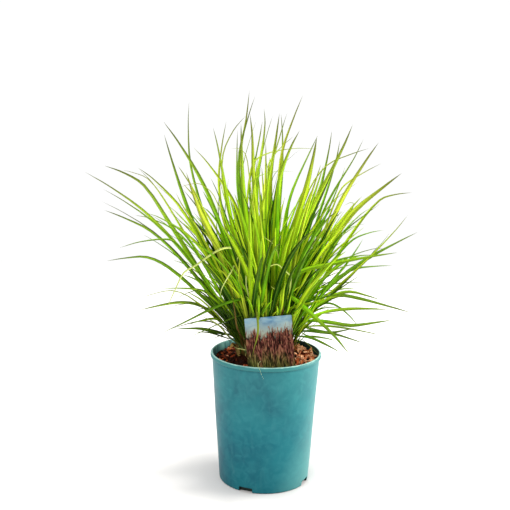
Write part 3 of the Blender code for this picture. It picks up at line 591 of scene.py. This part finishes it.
def give_map(piece, name, places):
    """UV map that gives each corner its two numbers."""
    uv_map = piece.data.uv_layers.new(name=name)
    uv_map.data.foreach_set("uv", places[loop_corners(piece.data)].astype(np.float32).ravel())


def read_values(tree, name):
    """The number stored at each corner."""
    return add_node(tree, "ShaderNodeAttribute", attribute_name=name).outputs["Fac"]


def bark(name, tone_stops, bump):
    """Fibrous bark: grain that darkens a tone, which each chip has of its own."""
    material, tree, shader = new_material(name, 0.8, 0.08)
    grain = add_noise(tree, add_place(tree), 380.0, 6.0, 1.4)
    colour = add_ramp(tree, read_values(tree, "tone"), *tone_stops)
    colour = add_shade(tree, colour, add_ramp(tree, grain, (0.41, (0.30, 0.22, 0.17)), (0.52, 1.08)))
    tree.links.new(colour, shader.inputs["Base Color"])
    add_bump(tree, shader, grain, bump, 0.0015)
    return material


mix_shape = mix_plug()
mix_bark = bark("mix_dark", MIX_TONES, 0.9)
mix_piece = add_piece("mix_plug", *mix_shape, mix_bark, "potting_mix", ["potting_mix"])
give_values(mix_piece, "tone", 0.5)
*chip_shape, chip_values = chip_pile()
chip_bark = bark("bark_orange", CHIP_TONES, 0.6)
chips = add_piece("bark_chips", *chip_shape, chip_bark, "potting_mix", sharp=35.0)
give_values(chips, "tone", chip_values)


# Crown: the matted base of the clump, a low dome of old leaf bases in the mix. Dead sheaths and
# short young leaves stand out of it all round.

CROWN_TOP = 200.4 * MM
CROWN_DEPTH = 13.0 * MM
CROWN_SIDES = 96
CROWN_TONES = ((0.0, (0.05, 0.032, 0.010)), (1.0, (0.13, 0.09, 0.03)))
SHEATH_COUNT = 150
YOUNG_SHARE = 0.45
YOUNG_LENGTH = (25.0, 80.0)
DEAD_LENGTH = (12.0, 48.0)
SHEATH_BREADTH = (2.4, 5.0)

LEAF_THICKNESS = 0.35 * MM
CLUMP_MIDDLE = (0.0, 0.0, 300.0 * MM)
CLUMP_HEART = (-26.0 * MM, 0.0, 215.0 * MM)
GREEN_TONES = ((0.0, (0.025, 0.10, 0.002)), (0.25, (0.20, 0.51, 0.003)), (0.55, (0.53, 0.81, 0.014)),
               (0.8, (0.60, 0.76, 0.02)), (1.0, (0.68, 0.78, 0.05)))
STRIPE_TONES = ((0.35, (0.62, 0.70, 0.6)), (0.62, 1.12))
STRAW_TONES = ((0.3, (0.10, 0.035, 0.012)), (0.6, (0.30, 0.20, 0.06)), (0.85, (0.58, 0.56, 0.22)),
               (1.05, (0.76, 0.82, 0.42)))
AGED_OLIVE = (0.31, 0.29, 0.08)
LOW_SHADE_GREEN = (0.15, 0.19, 0.03)
HEART_SHADE_GREEN = (0.008, 0.028, 0.002)
RIB_GREEN = (0.40, 0.58, 0.06)
EDGE_SHADE_GREEN = (0.03, 0.10, 0.002)
FOOT_SHADE_GREEN = (0.035, 0.085, 0.006)
TIP_BROWN = (0.09, 0.11, 0.02)
GLOW_GREEN = (1.04, 1.04, 0.58)


def smooth_curve(points, steps):
    """Hermite curve through points, with steps[i] places in span i and the last point at the
    end: each tangent is parallel to its neighbours' chord and as long as the span."""
    points = np.asarray(points)
    chords = np.vstack([points[1] - points[0], points[2:] - points[:-2], points[-1] - points[-2]])
    chords /= np.linalg.norm(chords, axis=1)[:, None]
    spans = np.repeat(np.arange(len(steps)), steps)
    t = np.concatenate([np.arange(count) / count for count in steps])[:, None]
    start, end = points[spans], points[spans + 1]
    reach = np.linalg.norm(end - start, axis=1)[:, None]
    curve = (2.0 * t**3 - 3.0 * t**2 + 1.0) * start + (3.0 * t**2 - 2.0 * t**3) * end
    curve += (t**3 - 2.0 * t**2 + t) * reach * chords[spans] + (t**3 - t**2) * reach * chords[spans + 1]
    return np.vstack([curve, points[-1]])


def unit(rows):
    """Rows scaled to length 1."""
    return rows / np.maximum(np.linalg.norm(rows, axis=1)[:, None], 1e-9)


class LeafBundle:
    """Leaves joined in one piece, with each corner's place across and along its leaf."""

    def __init__(self):
        self.points = []
        self.faces = []
        self.places = []
        self.marks = []
        self.count = 0

    def add(self, curve, ups, widths, folds, tone, dry=0.0):
        """Leaf along a curve, closed at both ends: each ring is the left edge, the underside,
        the right edge and the rib. An edge lies half a width out along (side cos f + up sin f),
        where f is the fold, and the underside a leaf's thickness below the rib."""
        forward = unit(np.gradient(curve, axis=0))
        ups = unit(ups - forward * np.sum(ups * forward, axis=1)[:, None])
        side = np.cross(forward, ups) * (widths / 2.0 * np.cos(folds))[:, None]
        raised = curve + ups * (widths / 2.0 * np.sin(folds))[:, None]
        under = curve - ups * np.minimum(widths * 0.2, LEAF_THICKNESS)[:, None]
        rings = np.stack([raised + side, under, raised - side, curve], axis=1)[:-1]
        rows, start = len(rings), self.count
        last = np.arange(4) + start + 4 * (rows - 1)
        self.faces += ring_faces(rows, 4, start) + pole_faces(last[-1] + 1, last)
        self.faces.append(np.arange(start, start + 4)[::-1])
        self.points += [rings.reshape(-1, 3), curve[-1:]]
        self.count += 4 * rows + 1
        length = np.append(0.0, np.cumsum(np.linalg.norm(np.diff(curve, axis=0), axis=1)))
        across = np.append(np.tile([0.0, 0.5, 1.0, 0.5], rows), 0.5)
        along = np.append(np.repeat(length[:-1], 4), length[-1]) / length[-1]
        self.places.append(np.stack([across, along], axis=1))
        self.marks += [(tone, dry)] * (4 * rows + 1)

    def build(self, name, nodes=()):
        """Makes the piece, with the UV map and the marks that leaf_green reads."""
        piece = add_piece(name, np.vstack(self.points), self.faces, LEAF, "leaf", nodes)
        give_map(piece, "leaf", np.vstack(self.places))
        for key, values in zip(("tone", "dry"), np.transpose(self.marks)):
            give_values(piece, key, values)


def leaf_stripes(tree, card):
    """Noise drawn out along a leaf, another on each: it is read at 2.2 times the place across
    the leaf, 3 times the place along it, and 40 times the leaf's tone."""
    across = add_sum(tree, "MULTIPLY", card["X"], 2.2)
    along = add_sum(tree, "MULTIPLY", card["Y"], 3.0)
    own = add_sum(tree, "MULTIPLY", read_values(tree, "tone"), 40.0)
    spot = add_node(tree, "ShaderNodeCombineXYZ", {"X": across, "Y": along, "Z": own})
    return add_noise(tree, spot.outputs["Vector"], 2.0)


def leaf_green():
    """Living leaf: deep to yellow green by tone, with fine veins, a pale rib, a brown tip and light
    that shines through, and painted shade on one half, its edges and its foot. Leaves are olive far
    out in the clump, and carry painted shade where they droop low and in its heart. Dry leaves are brown to
    straw."""
    material, tree, shader = new_material("leaf_green", 0.45, 0.06)
    card = add_axes(tree, add_node(tree, "ShaderNodeUVMap", uv_map="leaf").outputs["UV"])
    place = add_place(tree)
    mottle = add_noise(tree, place, 45.0)
    tone = add_sum(tree, "MULTIPLY_ADD", mottle, 0.3, read_values(tree, "tone"))
    green = add_ramp(tree, tone, *GREEN_TONES)
    green = add_shade(tree, green, add_ramp(tree, leaf_stripes(tree, card), *STRIPE_TONES))
    apart = add_distance(tree, place, CLUMP_MIDDLE)
    green = add_tint(tree, green, AGED_OLIVE, apart, 130.0 * MM, 280.0 * MM, 0.68)
    # Painted shade on leaves that droop low, away from the clump's middle.
    outside = add_fade(tree, apart, 80.0 * MM, 120.0 * MM)
    lowered = add_fade(tree, add_axes(tree, place)["Z"], 390.0 * MM, 290.0 * MM, 0.0, 0.6)
    low_shade = add_sum(tree, "MULTIPLY", outside, lowered)
    green = add_mix(tree, low_shade, green, (*LOW_SHADE_GREEN, 1.0))
    # Painted shade: one half of each leaf, across its fold, is darker.
    green = add_shade(tree, green, add_fade(tree, card["X"], 0.4, 0.6, 0.66, 1.16))
    # Painted shade in the clump's heart.
    heart = add_distance(tree, place, CLUMP_HEART)
    green = add_tint(tree, green, HEART_SHADE_GREEN, heart, 115.0 * MM, 60.0 * MM, 0.94)
    veins = add_sum(tree, "SINE", add_sum(tree, "MULTIPLY", card["X"], 69.0))
    green = add_shade(tree, green, add_fade(tree, veins, -1.0, 1.0, 0.86, 1.08))
    middle = add_sum(tree, "ABSOLUTE", add_sum(tree, "SUBTRACT", card["X"], 0.5))
    green = add_tint(tree, green, RIB_GREEN, middle, 0.09, 0.02, 0.3)
    # Painted shade along each leaf's edges.
    green = add_tint(tree, green, EDGE_SHADE_GREEN, middle, 0.42, 0.5, 0.7)
    # Painted shade at the foot of each leaf.
    green = add_tint(tree, green, FOOT_SHADE_GREEN, card["Y"], 0.24, 0.02, 0.8)
    tip = add_fade(tree, card["Y"], 0.72, 1.0)
    tip = add_sum(tree, "MULTIPLY", tip, add_fade(tree, apart, 170.0 * MM, 260.0 * MM, 0.05, 0.9))
    green = add_mix(tree, tip, green, (*TIP_BROWN, 1.0))
    straw = add_ramp(tree, tone, *STRAW_TONES)
    colour = add_mix(tree, read_values(tree, "dry"), green, straw)
    tree.links.new(colour, shader.inputs["Base Color"])
    add_bump(tree, shader, veins, 0.25, 0.0002)
    glow = add_shade(tree, colour, (*GLOW_GREEN, 1.0))
    through = add_node(tree, "ShaderNodeBsdfTranslucent", {"Color": glow})
    both = add_node(tree, "ShaderNodeMixShader", {"Fac": 0.34})
    tree.links.new(shader.outputs["BSDF"], both.inputs[1])
    tree.links.new(through.outputs["BSDF"], both.inputs[2])
    tree.links.new(both.outputs["Shader"], tree.nodes["Material Output"].inputs["Surface"])
    return material


def crown_mat():
    """Low dome: a turned outline whose radius sways by 3 % in three waves and by 2 % in seven."""
    bearings = np.arange(CROWN_SIDES) * math.tau / CROWN_SIDES
    low = CROWN_TOP - CROWN_DEPTH
    shares = (0.75, 0.5, 0.25, 0.0)
    top = [(CROWN_RADIUS * share, CROWN_TOP - (1.0 - share) * 0.4 * MM) for share in shares]
    round_edge = arc((CROWN_RADIUS - 4.0 * MM, CROWN_TOP - 4.5 * MM), 4.0 * MM, -20.0, 90.0, 6)
    outline = np.vstack([[(0.0, low), (CROWN_RADIUS * 0.86, low)], round_edge, top])
    waves = 0.03 * np.sin(3.0 * bearings + 0.6) + 0.02 * np.sin(7.0 * bearings)
    points, faces = turned(outline, CROWN_SIDES, outline[1:-1, :1] * (waves - 0.02))
    return points + CROWN_CENTRE, faces


def sheath_ring(bundle):
    """Dead sheaths and young leaves: short leaves in a ring on the crown that lean outwards.
    The dead ones are dry and shorter."""
    chance = random.Random(23)
    for _ in range(SHEATH_COUNT):
        bearing = chance.uniform(0.0, math.tau)
        reach = CROWN_RADIUS * math.sqrt(chance.uniform(0.35, 0.93))
        outwards = np.array([math.cos(bearing), math.sin(bearing), 0.0])
        young = chance.random() < YOUNG_SHARE
        length = chance.uniform(*(YOUNG_LENGTH if young else DEAD_LENGTH)) * MM
        lean = chance.uniform(0.1, 0.5)
        stray = np.array([chance.gauss(0.0, 0.25), chance.gauss(0.0, 0.25), 0.0])
        foot = CROWN_CENTRE + outwards * reach + [0.0, 0.0, CROWN_TOP - MM]
        heading = (outwards * lean + stray) * length
        places = [foot + heading * share**1.6 + [0.0, 0.0, length * share * (1.0 - 0.25 * share * lean)]
                  for share in (0.0, 0.35, 0.7, 1.0)]
        curve = behind_label(smooth_curve(places, [3, 3, 3]))
        share = np.linspace(0.0, 1.0, len(curve))
        width = chance.uniform(*SHEATH_BREADTH) * MM * (1.0 - share**2.5)
        folds = np.radians(np.linspace(65.0, chance.uniform(15.0, 45.0), len(curve)))
        ups = np.tile(-outwards + [0.0, 0.0, 0.4], (len(curve), 1))
        tone = chance.uniform(0.0, 0.6)
        bundle.add(curve, ups, width, folds, tone, 0.0 if young else chance.uniform(0.6, 1.0))


LEAF = leaf_green()
crown_shape = crown_mat()
crown_bark = bark("crown_brown", CROWN_TONES, 0.9)
crown_piece = add_piece("crown_mat", *crown_shape, crown_bark, "crown", ["crown"])
give_values(crown_piece, "tone", 0.5)
sheaths = LeafBundle()
sheath_ring(sheaths)
sheaths.build("crown_sheaths")


# Shoots: 54 shoots on the crown, each a bundle of rolled sheaths that open into arching leaves.
# The leaves follow the solid ones, and slimmer, shorter leaves fill the clump between them.

SHOOTS = sorted(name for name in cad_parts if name.startswith("shoot_"))
SHEATH_WIDTH = 3.4 * MM
LEAF_BREADTH = (0.9, 1.85)
LEAF_ROLL = 0.45

# A solid inner leaf has four rings above its cell's, and an outer one five.
INNER_RINGS = 4

# A leaf is low or upright by the height of its tip, and no slim leaf droops below the second.
LOW_HEIGHT = 300.0 * MM
DROOP_HEIGHT = 228.0 * MM
UPRIGHT_HEIGHT = 420.0 * MM

# The folds of sheath and tip are in radians, and the ranges of fold, swing and lean in degrees.
SHEATH_FOLDS = (1.26, 1.15)
TIP_FOLD = 0.5
LEAF_FOLD = (14.0, 36.0)
SLIM_SWING = (6.0, 24.0)
SLIM_LEAN = (-7.0, 5.0)
SLIM_SIZE = (0.35, 0.78)
SLIM_SIZE_UPRIGHT = (0.35, 0.93)
SLIM_BREADTH = (0.35, 0.75)
SLIM_COUNTS = (2, 2, 3)
SLIM_COUNTS_LOW = (0, 1, 1)
OUTER_TONES = (0.0, 0.33)
OUTER_TONES_UPRIGHT = (0.0, 0.88)
INNER_TONES = (-0.25, 0.85)
SLIM_TONES = (-0.3, 0.75)
SLIM_TONES_LOW = (-0.3, 0.4)


def leaf_skeletons(node):
    """Middle line, underside directions and widths of each leaf of a solid shoot, from its
    cell to its tip, and the middle of the shoot's foot. Its loose triangles are joined where
    their corners meet, in the order in which these come. A tip touches three corners, and each
    ring is what the ring above it touches. A ring's longest side is the leaf's width, and its
    third corner lies on the leaf's underside."""
    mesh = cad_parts[node].data
    places = np.zeros(3 * len(mesh.vertices))
    mesh.vertices.foreach_get("co", places)
    places = places.reshape(-1, 3).round(6)
    _, first, order = np.unique(places, axis=0, return_index=True, return_inverse=True)
    corners = places[np.sort(first)]
    triangles = np.argsort(np.argsort(first))[order.ravel()[loop_corners(mesh)]].reshape(-1, 3)
    touch = np.zeros((len(corners), len(corners)), dtype=bool)
    touch[triangles, np.roll(triangles, 1, axis=1)] = True
    touch |= touch.T
    skeletons = []
    for tip in np.flatnonzero(touch.sum(axis=1) == 3):
        ring, seen, rings = touch[tip], np.arange(len(corners)) == tip, []
        while ring.sum() == 3:
            rings.append(np.flatnonzero(ring))
            seen = seen | ring
            ring = touch[ring].any(axis=0) & ~seen
        if len(rings) <= INNER_RINGS:
            continue
        sections = corners[np.array(rings[-2::-1])]
        sides = np.roll(sections, -1, axis=1) - sections
        lengths = np.linalg.norm(sides, axis=2)
        rows, widest = np.arange(len(sections)), lengths.argmax(axis=1)
        middles = sections[rows, widest] + sides[rows, widest] / 2.0
        unders = unit(sections[rows, (widest + 2) % 3] - middles)
        cell = corners[rings[-1]].mean(axis=0)
        skeletons.append((np.vstack([cell, middles, corners[tip]]), unders, lengths.max(axis=1)))
    foot = corners[corners[:, 2] < corners[:, 2].min() + 0.1 * MM].mean(axis=0)
    return skeletons, foot


def dress_leaf(bundle, foot, skeleton, per_span, tone, chance):
    """Leaf on a skeleton: a rolled sheath from the crown to the cell, which opens to a shallow
    fold, rolls about its middle line in one slow wave, and tapers to its tip."""
    middles, unders, widths = skeleton
    widths = widths * np.linspace(*LEAF_BREADTH, len(widths))
    steps = [2] + [per_span] * (len(middles) - 2) + [per_span + 1]
    curve = behind_label(smooth_curve(np.vstack([foot, middles]), steps))
    knots = np.cumsum([0] + steps)
    rows = np.arange(len(curve))
    across = np.interp(rows, knots, [SHEATH_WIDTH * 1.25, SHEATH_WIDTH, *widths, 0.0])
    across[-per_span - 2:] = widths[-1] * (1.0 - np.linspace(0.0, 1.0, per_span + 2) ** 1.5)
    ups = -np.pad(unders, ((2, 1), (0, 0)), "edge")
    ups = np.stack([np.interp(rows, knots, ups[:, axis]) for axis in range(3)], axis=1)
    opened = rows / rows[-1]
    sides = np.cross(np.gradient(curve, axis=0), ups)
    wave = np.sin(opened * chance.uniform(3.0, 7.0) + chance.uniform(0.0, math.tau))
    ups = unit(ups) + unit(sides) * (LEAF_ROLL * wave * opened)[:, None]
    fold = math.radians(chance.uniform(*LEAF_FOLD))
    folds = np.interp(rows, [0, knots[1], knots[2], knots[-1]], [*SHEATH_FOLDS, fold, TIP_FOLD])
    bundle.add(curve, ups, across, folds, tone)


def slim_skeleton(skeleton, foot, sizes, chance):
    """Skeleton of a slimmer, shorter leaf: the given one swung and leaned about its foot, and
    shrunk to a share of its size and breadth."""
    middles, unders, widths = skeleton
    swing = math.radians(chance.choice((-1.0, 1.0)) * chance.uniform(*SLIM_SWING))
    lean = math.radians(chance.uniform(*SLIM_LEAN))
    turn = np.array(Matrix.Rotation(lean, 3, "X") @ Matrix.Rotation(swing, 3, "Z"))
    moved = (middles - foot) @ turn.T * chance.uniform(*sizes) + foot
    moved[0] = middles[0] * 0.6 + foot * 0.4
    return moved, unders @ turn.T, widths * chance.uniform(*SLIM_BREADTH)


for node in SHOOTS:
    chance = random.Random(f"{node}/looks")
    skeletons, foot = leaf_skeletons(node)
    bundle = LeafBundle()
    top = np.mean([middles[0] for middles, _, _ in skeletons], axis=0)
    for skeleton in skeletons:
        start = foot + (skeleton[0][0] - top) * 1.2
        tip_height = skeleton[0][-1][2]
        upright = tip_height > UPRIGHT_HEIGHT
        low = tip_height < LOW_HEIGHT
        tones = OUTER_TONES_UPRIGHT if upright else OUTER_TONES
        if len(skeleton[1]) <= INNER_RINGS:
            tones = INNER_TONES
        dress_leaf(bundle, start, skeleton, 3, chance.uniform(*tones), chance)
        for _ in range(chance.choice(SLIM_COUNTS_LOW if low else SLIM_COUNTS)):
            sizes = SLIM_SIZE_UPRIGHT if upright else SLIM_SIZE
            slim = slim_skeleton(skeleton, start, sizes, chance)
            if slim[0][-1][2] > DROOP_HEIGHT:
                tone = chance.uniform(*(SLIM_TONES_LOW if low else SLIM_TONES))
                dress_leaf(bundle, start, slim, 2, tone, chance)
    bundle.build(node + "_leaves", [node])


# Small growth: single leaves too thin for solids, grown from the crown: pale dead strands that
# lie across the clump, a dry sheath at its left, a hair over the rim and a leaf over the label.

STRAND_FOLD = 0.35
STRAND_TURN = (0.4, 0.0, 0.5)

# A row holds tone, dryness, width in mm, depths in mm behind the axis, the leaf's foot on the
# crown in mm, and its picture places from the tip inwards. Two depths are those of the first
# place and the last, and more are those of all places, one by one.
STRANDS = (
    (0.9, 0.4, 3.4, (-74, -62), (-12, -20), (
        (166, 311), (170, 301), (175, 290), (184, 272.5), (195, 266), (212, 254), (225, 248),
        (236.5, 251))),
    (0.95, 0.45, 2.6, (-94, -92, -86, -74, -58), (-14, 0), (
        (219.5, 299.6), (221.6, 289), (227.4, 278), (231, 272), (234.8, 266))),
    (0.9, 0.5, 2.2, (-80, -60), (0, -28), ((237, 262), (238, 257.5), (244, 256.5), (247, 261), (246, 285))),
    (0.8, 0.3, 2.0, (-60, -50), (14, -20), ((261, 233), (266, 238.5), (270, 241), (276, 248), (279, 262))),
    (0.8, 0.4, 2.6, (-96, -62), (20, -22), ((265, 271), (270, 266.5), (277, 264.5), (284, 270), (291, 278))),
    (0.9, 0.2, 3.2, (-80, -34), (8, -34), ((270, 286), (273, 288), (276, 291), (277, 300))),
    (0.9, 0.0, 6.0, (-88, -52), (-12, -36), ((240, 257), (239, 270), (239.5, 282), (243, 300), (247, 318))),
    (0.7, 0.3, 1.8, (-50, -45), (10, -20), ((231, 148.5), (240, 149), (246, 156), (249, 175))),
    (0.5, 0.2, 1.8, (30, 30), (-20, 0), ((122, 170), (131, 172), (148, 179), (168, 205))),
    (0.5, 0.4, 1.6, (-20, -10), (-20, -10), ((180, 187.5), (187, 185), (200, 184), (214, 196), (224, 225))),
    (0.6, 0.1, 2.6, (10, 0), (30, 0), ((343, 206), (353, 203), (350, 212), (330, 240))),
    (0.6, 0.0, 3.4, (-60, -40), (-26, -20), ((184, 290), (193, 295), (201, 300), (216, 314))),
    (0.8, 0.1, 3.4, (-62, -50), (-22, -26), ((200, 316), (210, 320), (220, 326.5), (228, 336))),
    (0.7, 0.7, 1.3, (-75, -70), (-14, -40), ((233, 346.5), (237.7, 348.6), (241, 349), (246, 350.4))),
    (0.44, 0.98, 7.0, (-38, -34), (-40, -20), ((229.5, 348.5), (231.3, 346), (233.2, 344.5))),
    (0.4, 0.5, 0.9, (-10, 0), (-30, -10), ((215.8, 343), (219, 339), (224, 337), (230, 341))),
    (0.5, 0.3, 1.2, (-10, 0), (34, -10), ((320, 356), (311, 347), (303, 340), (300, 339))),
    (0.6, 0.2, 2.4, (-80, -58), (6, -32), ((250, 281), (253, 278), (256, 282), (255, 300))),
    (0.2, 0.9, 2.6, (-64, -60), (-22, -30), ((232.5, 296), (233.5, 304), (235, 314), (237, 328))),
    (0.2, 0.95, 3.6, (-56, -54), (18, -34), ((283, 303), (283, 308), (282.5, 316), (282, 326))),
    (0.35, 0.35, 4.4, (-79, -78, -76, -72, -64, -58, -52), (-6, -30), (
        (252, 358), (254.7, 346), (257.2, 337), (258, 327), (257.4, 318), (256.6, 311), (256.5, 300))),
    (0.9, 0.8, 0.34, (-84.2, -86.2, -88.4, -88.4, -84), (4, -38), (
        (264.5, 381), (262.5, 377), (260.3, 371), (259, 367), (258.4, 363.5))),
)


def strand_places(depths, root, places):
    """Points of a strand from its foot on the crown, by way of one halfway up and 8 mm further
    back, to its picture places on their lines of sight."""
    if len(depths) == 2:
        depths = np.linspace(*depths, len(places))
    seen = [sight(x, y, depth) for (x, y), depth in zip(places, depths)][::-1]
    foot = np.array([root[0] * MM, root[1] * MM, CROWN_TOP])
    rise = foot * 0.45 + seen[0] * 0.55 + [0.0, 8.0 * MM, 0.0]
    return [foot, rise] + seen


strands = LeafBundle()
for tone, dry, width, depths, root, places in STRANDS:
    points = strand_places(depths, root, places)
    curve = smooth_curve(points, [3] * (len(points) - 1))
    if len(depths) == 2:
        curve = behind_label(curve)
    share = np.linspace(0.0, 1.0, len(curve))
    across = width * MM * (1.0 - share**3) * np.minimum(0.6 + share * 2.0, 1.0)
    facing = np.array(CAMERA_PLACE) - curve + STRAND_TURN
    strands.add(curve, facing, across, np.full(len(curve), STRAND_FOLD), tone, dry)
strands.build("strands")


# Label: a laminated card on a stake, pushed into the mix and leaning back. Its print is made
# up: a pale sky over a stand of mauve plumes, with olive grass at their feet.

LABEL_THICKNESS = 0.8 * MM
LABEL_CORNER = 1.4 * MM
LABEL_BOW = 1.2 * MM
STAKE_WIDTH = 17.0 * MM
STAKE_LENGTH = 40.0 * MM
STAKE_POINT = 12.0 * MM
LABEL_COLUMNS = 12
SKY_TONES = ((0.32, (0.06, 0.15, 0.26)), (0.5, (0.15, 0.26, 0.34)), (0.68, (0.27, 0.35, 0.35)))
PLUME_TONES = ((0.42, (0.003, 0.001, 0.0)), (0.46, (0.011, 0.003, 0.001)), (0.5, (0.042, 0.010, 0.006)),
               (0.54, (0.125, 0.037, 0.03)), (0.62, (0.19, 0.10, 0.045)))
GRASS_TONES = ((0.42, (0.004, 0.003, 0.001)), (0.48, (0.026, 0.028, 0.005)), (0.58, (0.12, 0.14, 0.03)))
HAZE = (0.24, 0.25, 0.17)
STAKE_WHITE = (0.30, 0.32, 0.30)


def label_sheet():
    """Card and stake as one grid: the point (u, y) lies at x = u half(y), with u from -1 to 1.
    half(y) grows from the stake's point to its width, steps out to the card and rounds its
    corners. Each point is bowed back by LABEL_BOW y x^2, in shares of the card's size."""
    half = LABEL_WIDTH / 2.0
    inset = half - LABEL_CORNER
    side = np.vstack([
        [(0.3 * MM, -STAKE_LENGTH), (STAKE_WIDTH / 2.0, STAKE_POINT - STAKE_LENGTH)],
        [(STAKE_WIDTH / 2.0, -0.1 * MM)],
        arc((inset, LABEL_CORNER), LABEL_CORNER, -88.0, 0.0, 5),
        [(half, share * LABEL_HEIGHT) for share in (0.25, 0.5, 0.75)],
        arc((inset, LABEL_HEIGHT - LABEL_CORNER), LABEL_CORNER, 0.0, 88.0, 5)])
    u = np.linspace(-1.0, 1.0, LABEL_COLUMNS)
    x = side[:, :1] * u
    y = side[:, 1:] + 0.0 * u
    bow = -LABEL_BOW * (x / half) ** 2 * np.clip(y / LABEL_HEIGHT, 0.0, 1.0)
    front = np.stack([x, y, bow + LABEL_THICKNESS / 2.0], axis=2)
    back = front - [0.0, 0.0, LABEL_THICKNESS]
    rings = np.concatenate([front, back[:, ::-1]], axis=1)
    rows, columns = rings.shape[:2]
    faces = ring_faces(rows, columns)
    faces += [np.arange(columns)[::-1], np.arange(columns) + (rows - 1) * columns]
    return rings.reshape(-1, 3), faces


def card_print():
    """Print under a clear film, drawn over the card's UV map: the sky fades down to haze, and
    plumes are two layers of stretched noise that lean either way."""
    material, tree, shader = new_material("label_print", 0.45, 0.04)
    card = add_node(tree, "ShaderNodeUVMap", uv_map="card").outputs["UV"]
    up = add_axes(tree, card)["Y"]
    cloud = add_noise(tree, card, 3.0, 5.0, 0.6, (1.0, 2.4, 1.0))
    sky = add_ramp(tree, cloud, *SKY_TONES)
    left = add_noise(tree, card, 1.0, 6.0, 1.3, (34.0, 7.0, 1.0), 0.24)
    right = add_noise(tree, card, 1.0, 6.0, 1.3, (31.0, 6.0, 1.0), -0.3)
    strokes = add_sum(tree, "MULTIPLY", add_sum(tree, "ADD", left, right), 0.5)
    plumes = add_ramp(tree, strokes, *PLUME_TONES)
    grass = add_ramp(tree, strokes, *GRASS_TONES)
    rise = add_noise(tree, card, 1.0, 5.0, 0.5, (6.0, 1.0, 1.0))
    low = add_sum(tree, "MULTIPLY_ADD", rise, 0.9, add_sum(tree, "MULTIPLY_ADD", strokes, 0.6, up))
    field = add_mix(tree, add_fade(tree, low, 1.18, 0.86), plumes, grass)
    crest = add_sum(tree, "MULTIPLY_ADD", strokes, 0.75, add_sum(tree, "MULTIPLY_ADD", rise, 0.55, 0.06))
    above = add_fade(tree, add_sum(tree, "SUBTRACT", up, crest), 0.0, 0.07)
    picture = add_mix(tree, above, field, add_tint(tree, sky, HAZE, up, 0.95, 0.7, 0.85))
    printed = add_tint(tree, picture, STAKE_WHITE, up, 0.0, -0.01, 1.0)
    tree.links.new(printed, shader.inputs["Base Color"])
    return material


flat_points, label_faces = label_sheet()
label_points = from_label(flat_points)
label = add_piece("label_card", label_points, label_faces, card_print(), "plant_label", ["plant_label"])
give_map(label, "card", flat_points[:, :2] / [LABEL_WIDTH, LABEL_HEIGHT] + [0.5, 0.0])


# Floor and light: a white floor in even white light, with three soft lamps: a large low one
# from the right, a smaller one nearly overhead, and a weak one from the front left.

FLOOR_REACH = 1.5
FLOOR_DROP = 0.3 * MM
FLOOR_WHITE = (0.67, 0.66, 0.665)
AIR_LIGHT = 1.02
LAMP_AIM = Vector((0.0, 0.0, 0.25))
LAMP_WHITE = (1.0, 0.98, 0.92)

# A row holds bearing and height in degrees, distance and size in metres, and power in watts.
LAMPS = (("low_right", 8.0, 9.0, 2.5, 1.6, 130.0),
         ("high_right", 10.0, 86.0, 3.0, 0.45, 88.0),
         ("front", -112.0, 22.0, 2.6, 1.2, 40.0))


def add_lamp(name, bearing, height, distance, size, power):
    """Square area light at a bearing and height in degrees round the clump, aimed at it."""
    data = bpy.data.lights.new(name, "AREA")
    data.size = size
    data.energy = power
    data.color = LAMP_WHITE
    lamp = new_object(name, data)
    turn = Euler((0.0, -math.radians(height), math.radians(bearing)))
    ray = turn.to_matrix() @ Vector((distance, 0.0, 0.0))
    lamp.location = LAMP_AIM + ray
    lamp.rotation_euler = (-ray).to_track_quat("-Z", "Y").to_euler()


floor_mesh = bpy.data.meshes.new("floor")
floor_corners = [(x * FLOOR_REACH, y * FLOOR_REACH, -FLOOR_DROP)
                 for x, y in ((-1, -1), (1, -1), (1, 1), (-1, 1))]
floor_mesh.from_pydata(floor_corners, [], [(0, 1, 2, 3)])
floor_paint, _, floor_shader = new_material("floor_white", 0.9, 0.1)
floor_shader.inputs["Base Color"].default_value = (*FLOOR_WHITE, 1.0)
floor_mesh.materials.append(floor_paint)
floor = new_object("floor", floor_mesh)

world = bpy.data.worlds.new("studio")
world.use_nodes = True
background = world.node_tree.nodes["Background"]
background.inputs["Color"].default_value = (1.0, 1.0, 1.0, 1.0)
background.inputs["Strength"].default_value = AIR_LIGHT
scene.world = world
for lamp_values in LAMPS:
    add_lamp(*lamp_values)
scene.view_settings.view_transform = "Standard"
scene.view_settings.look = "None"
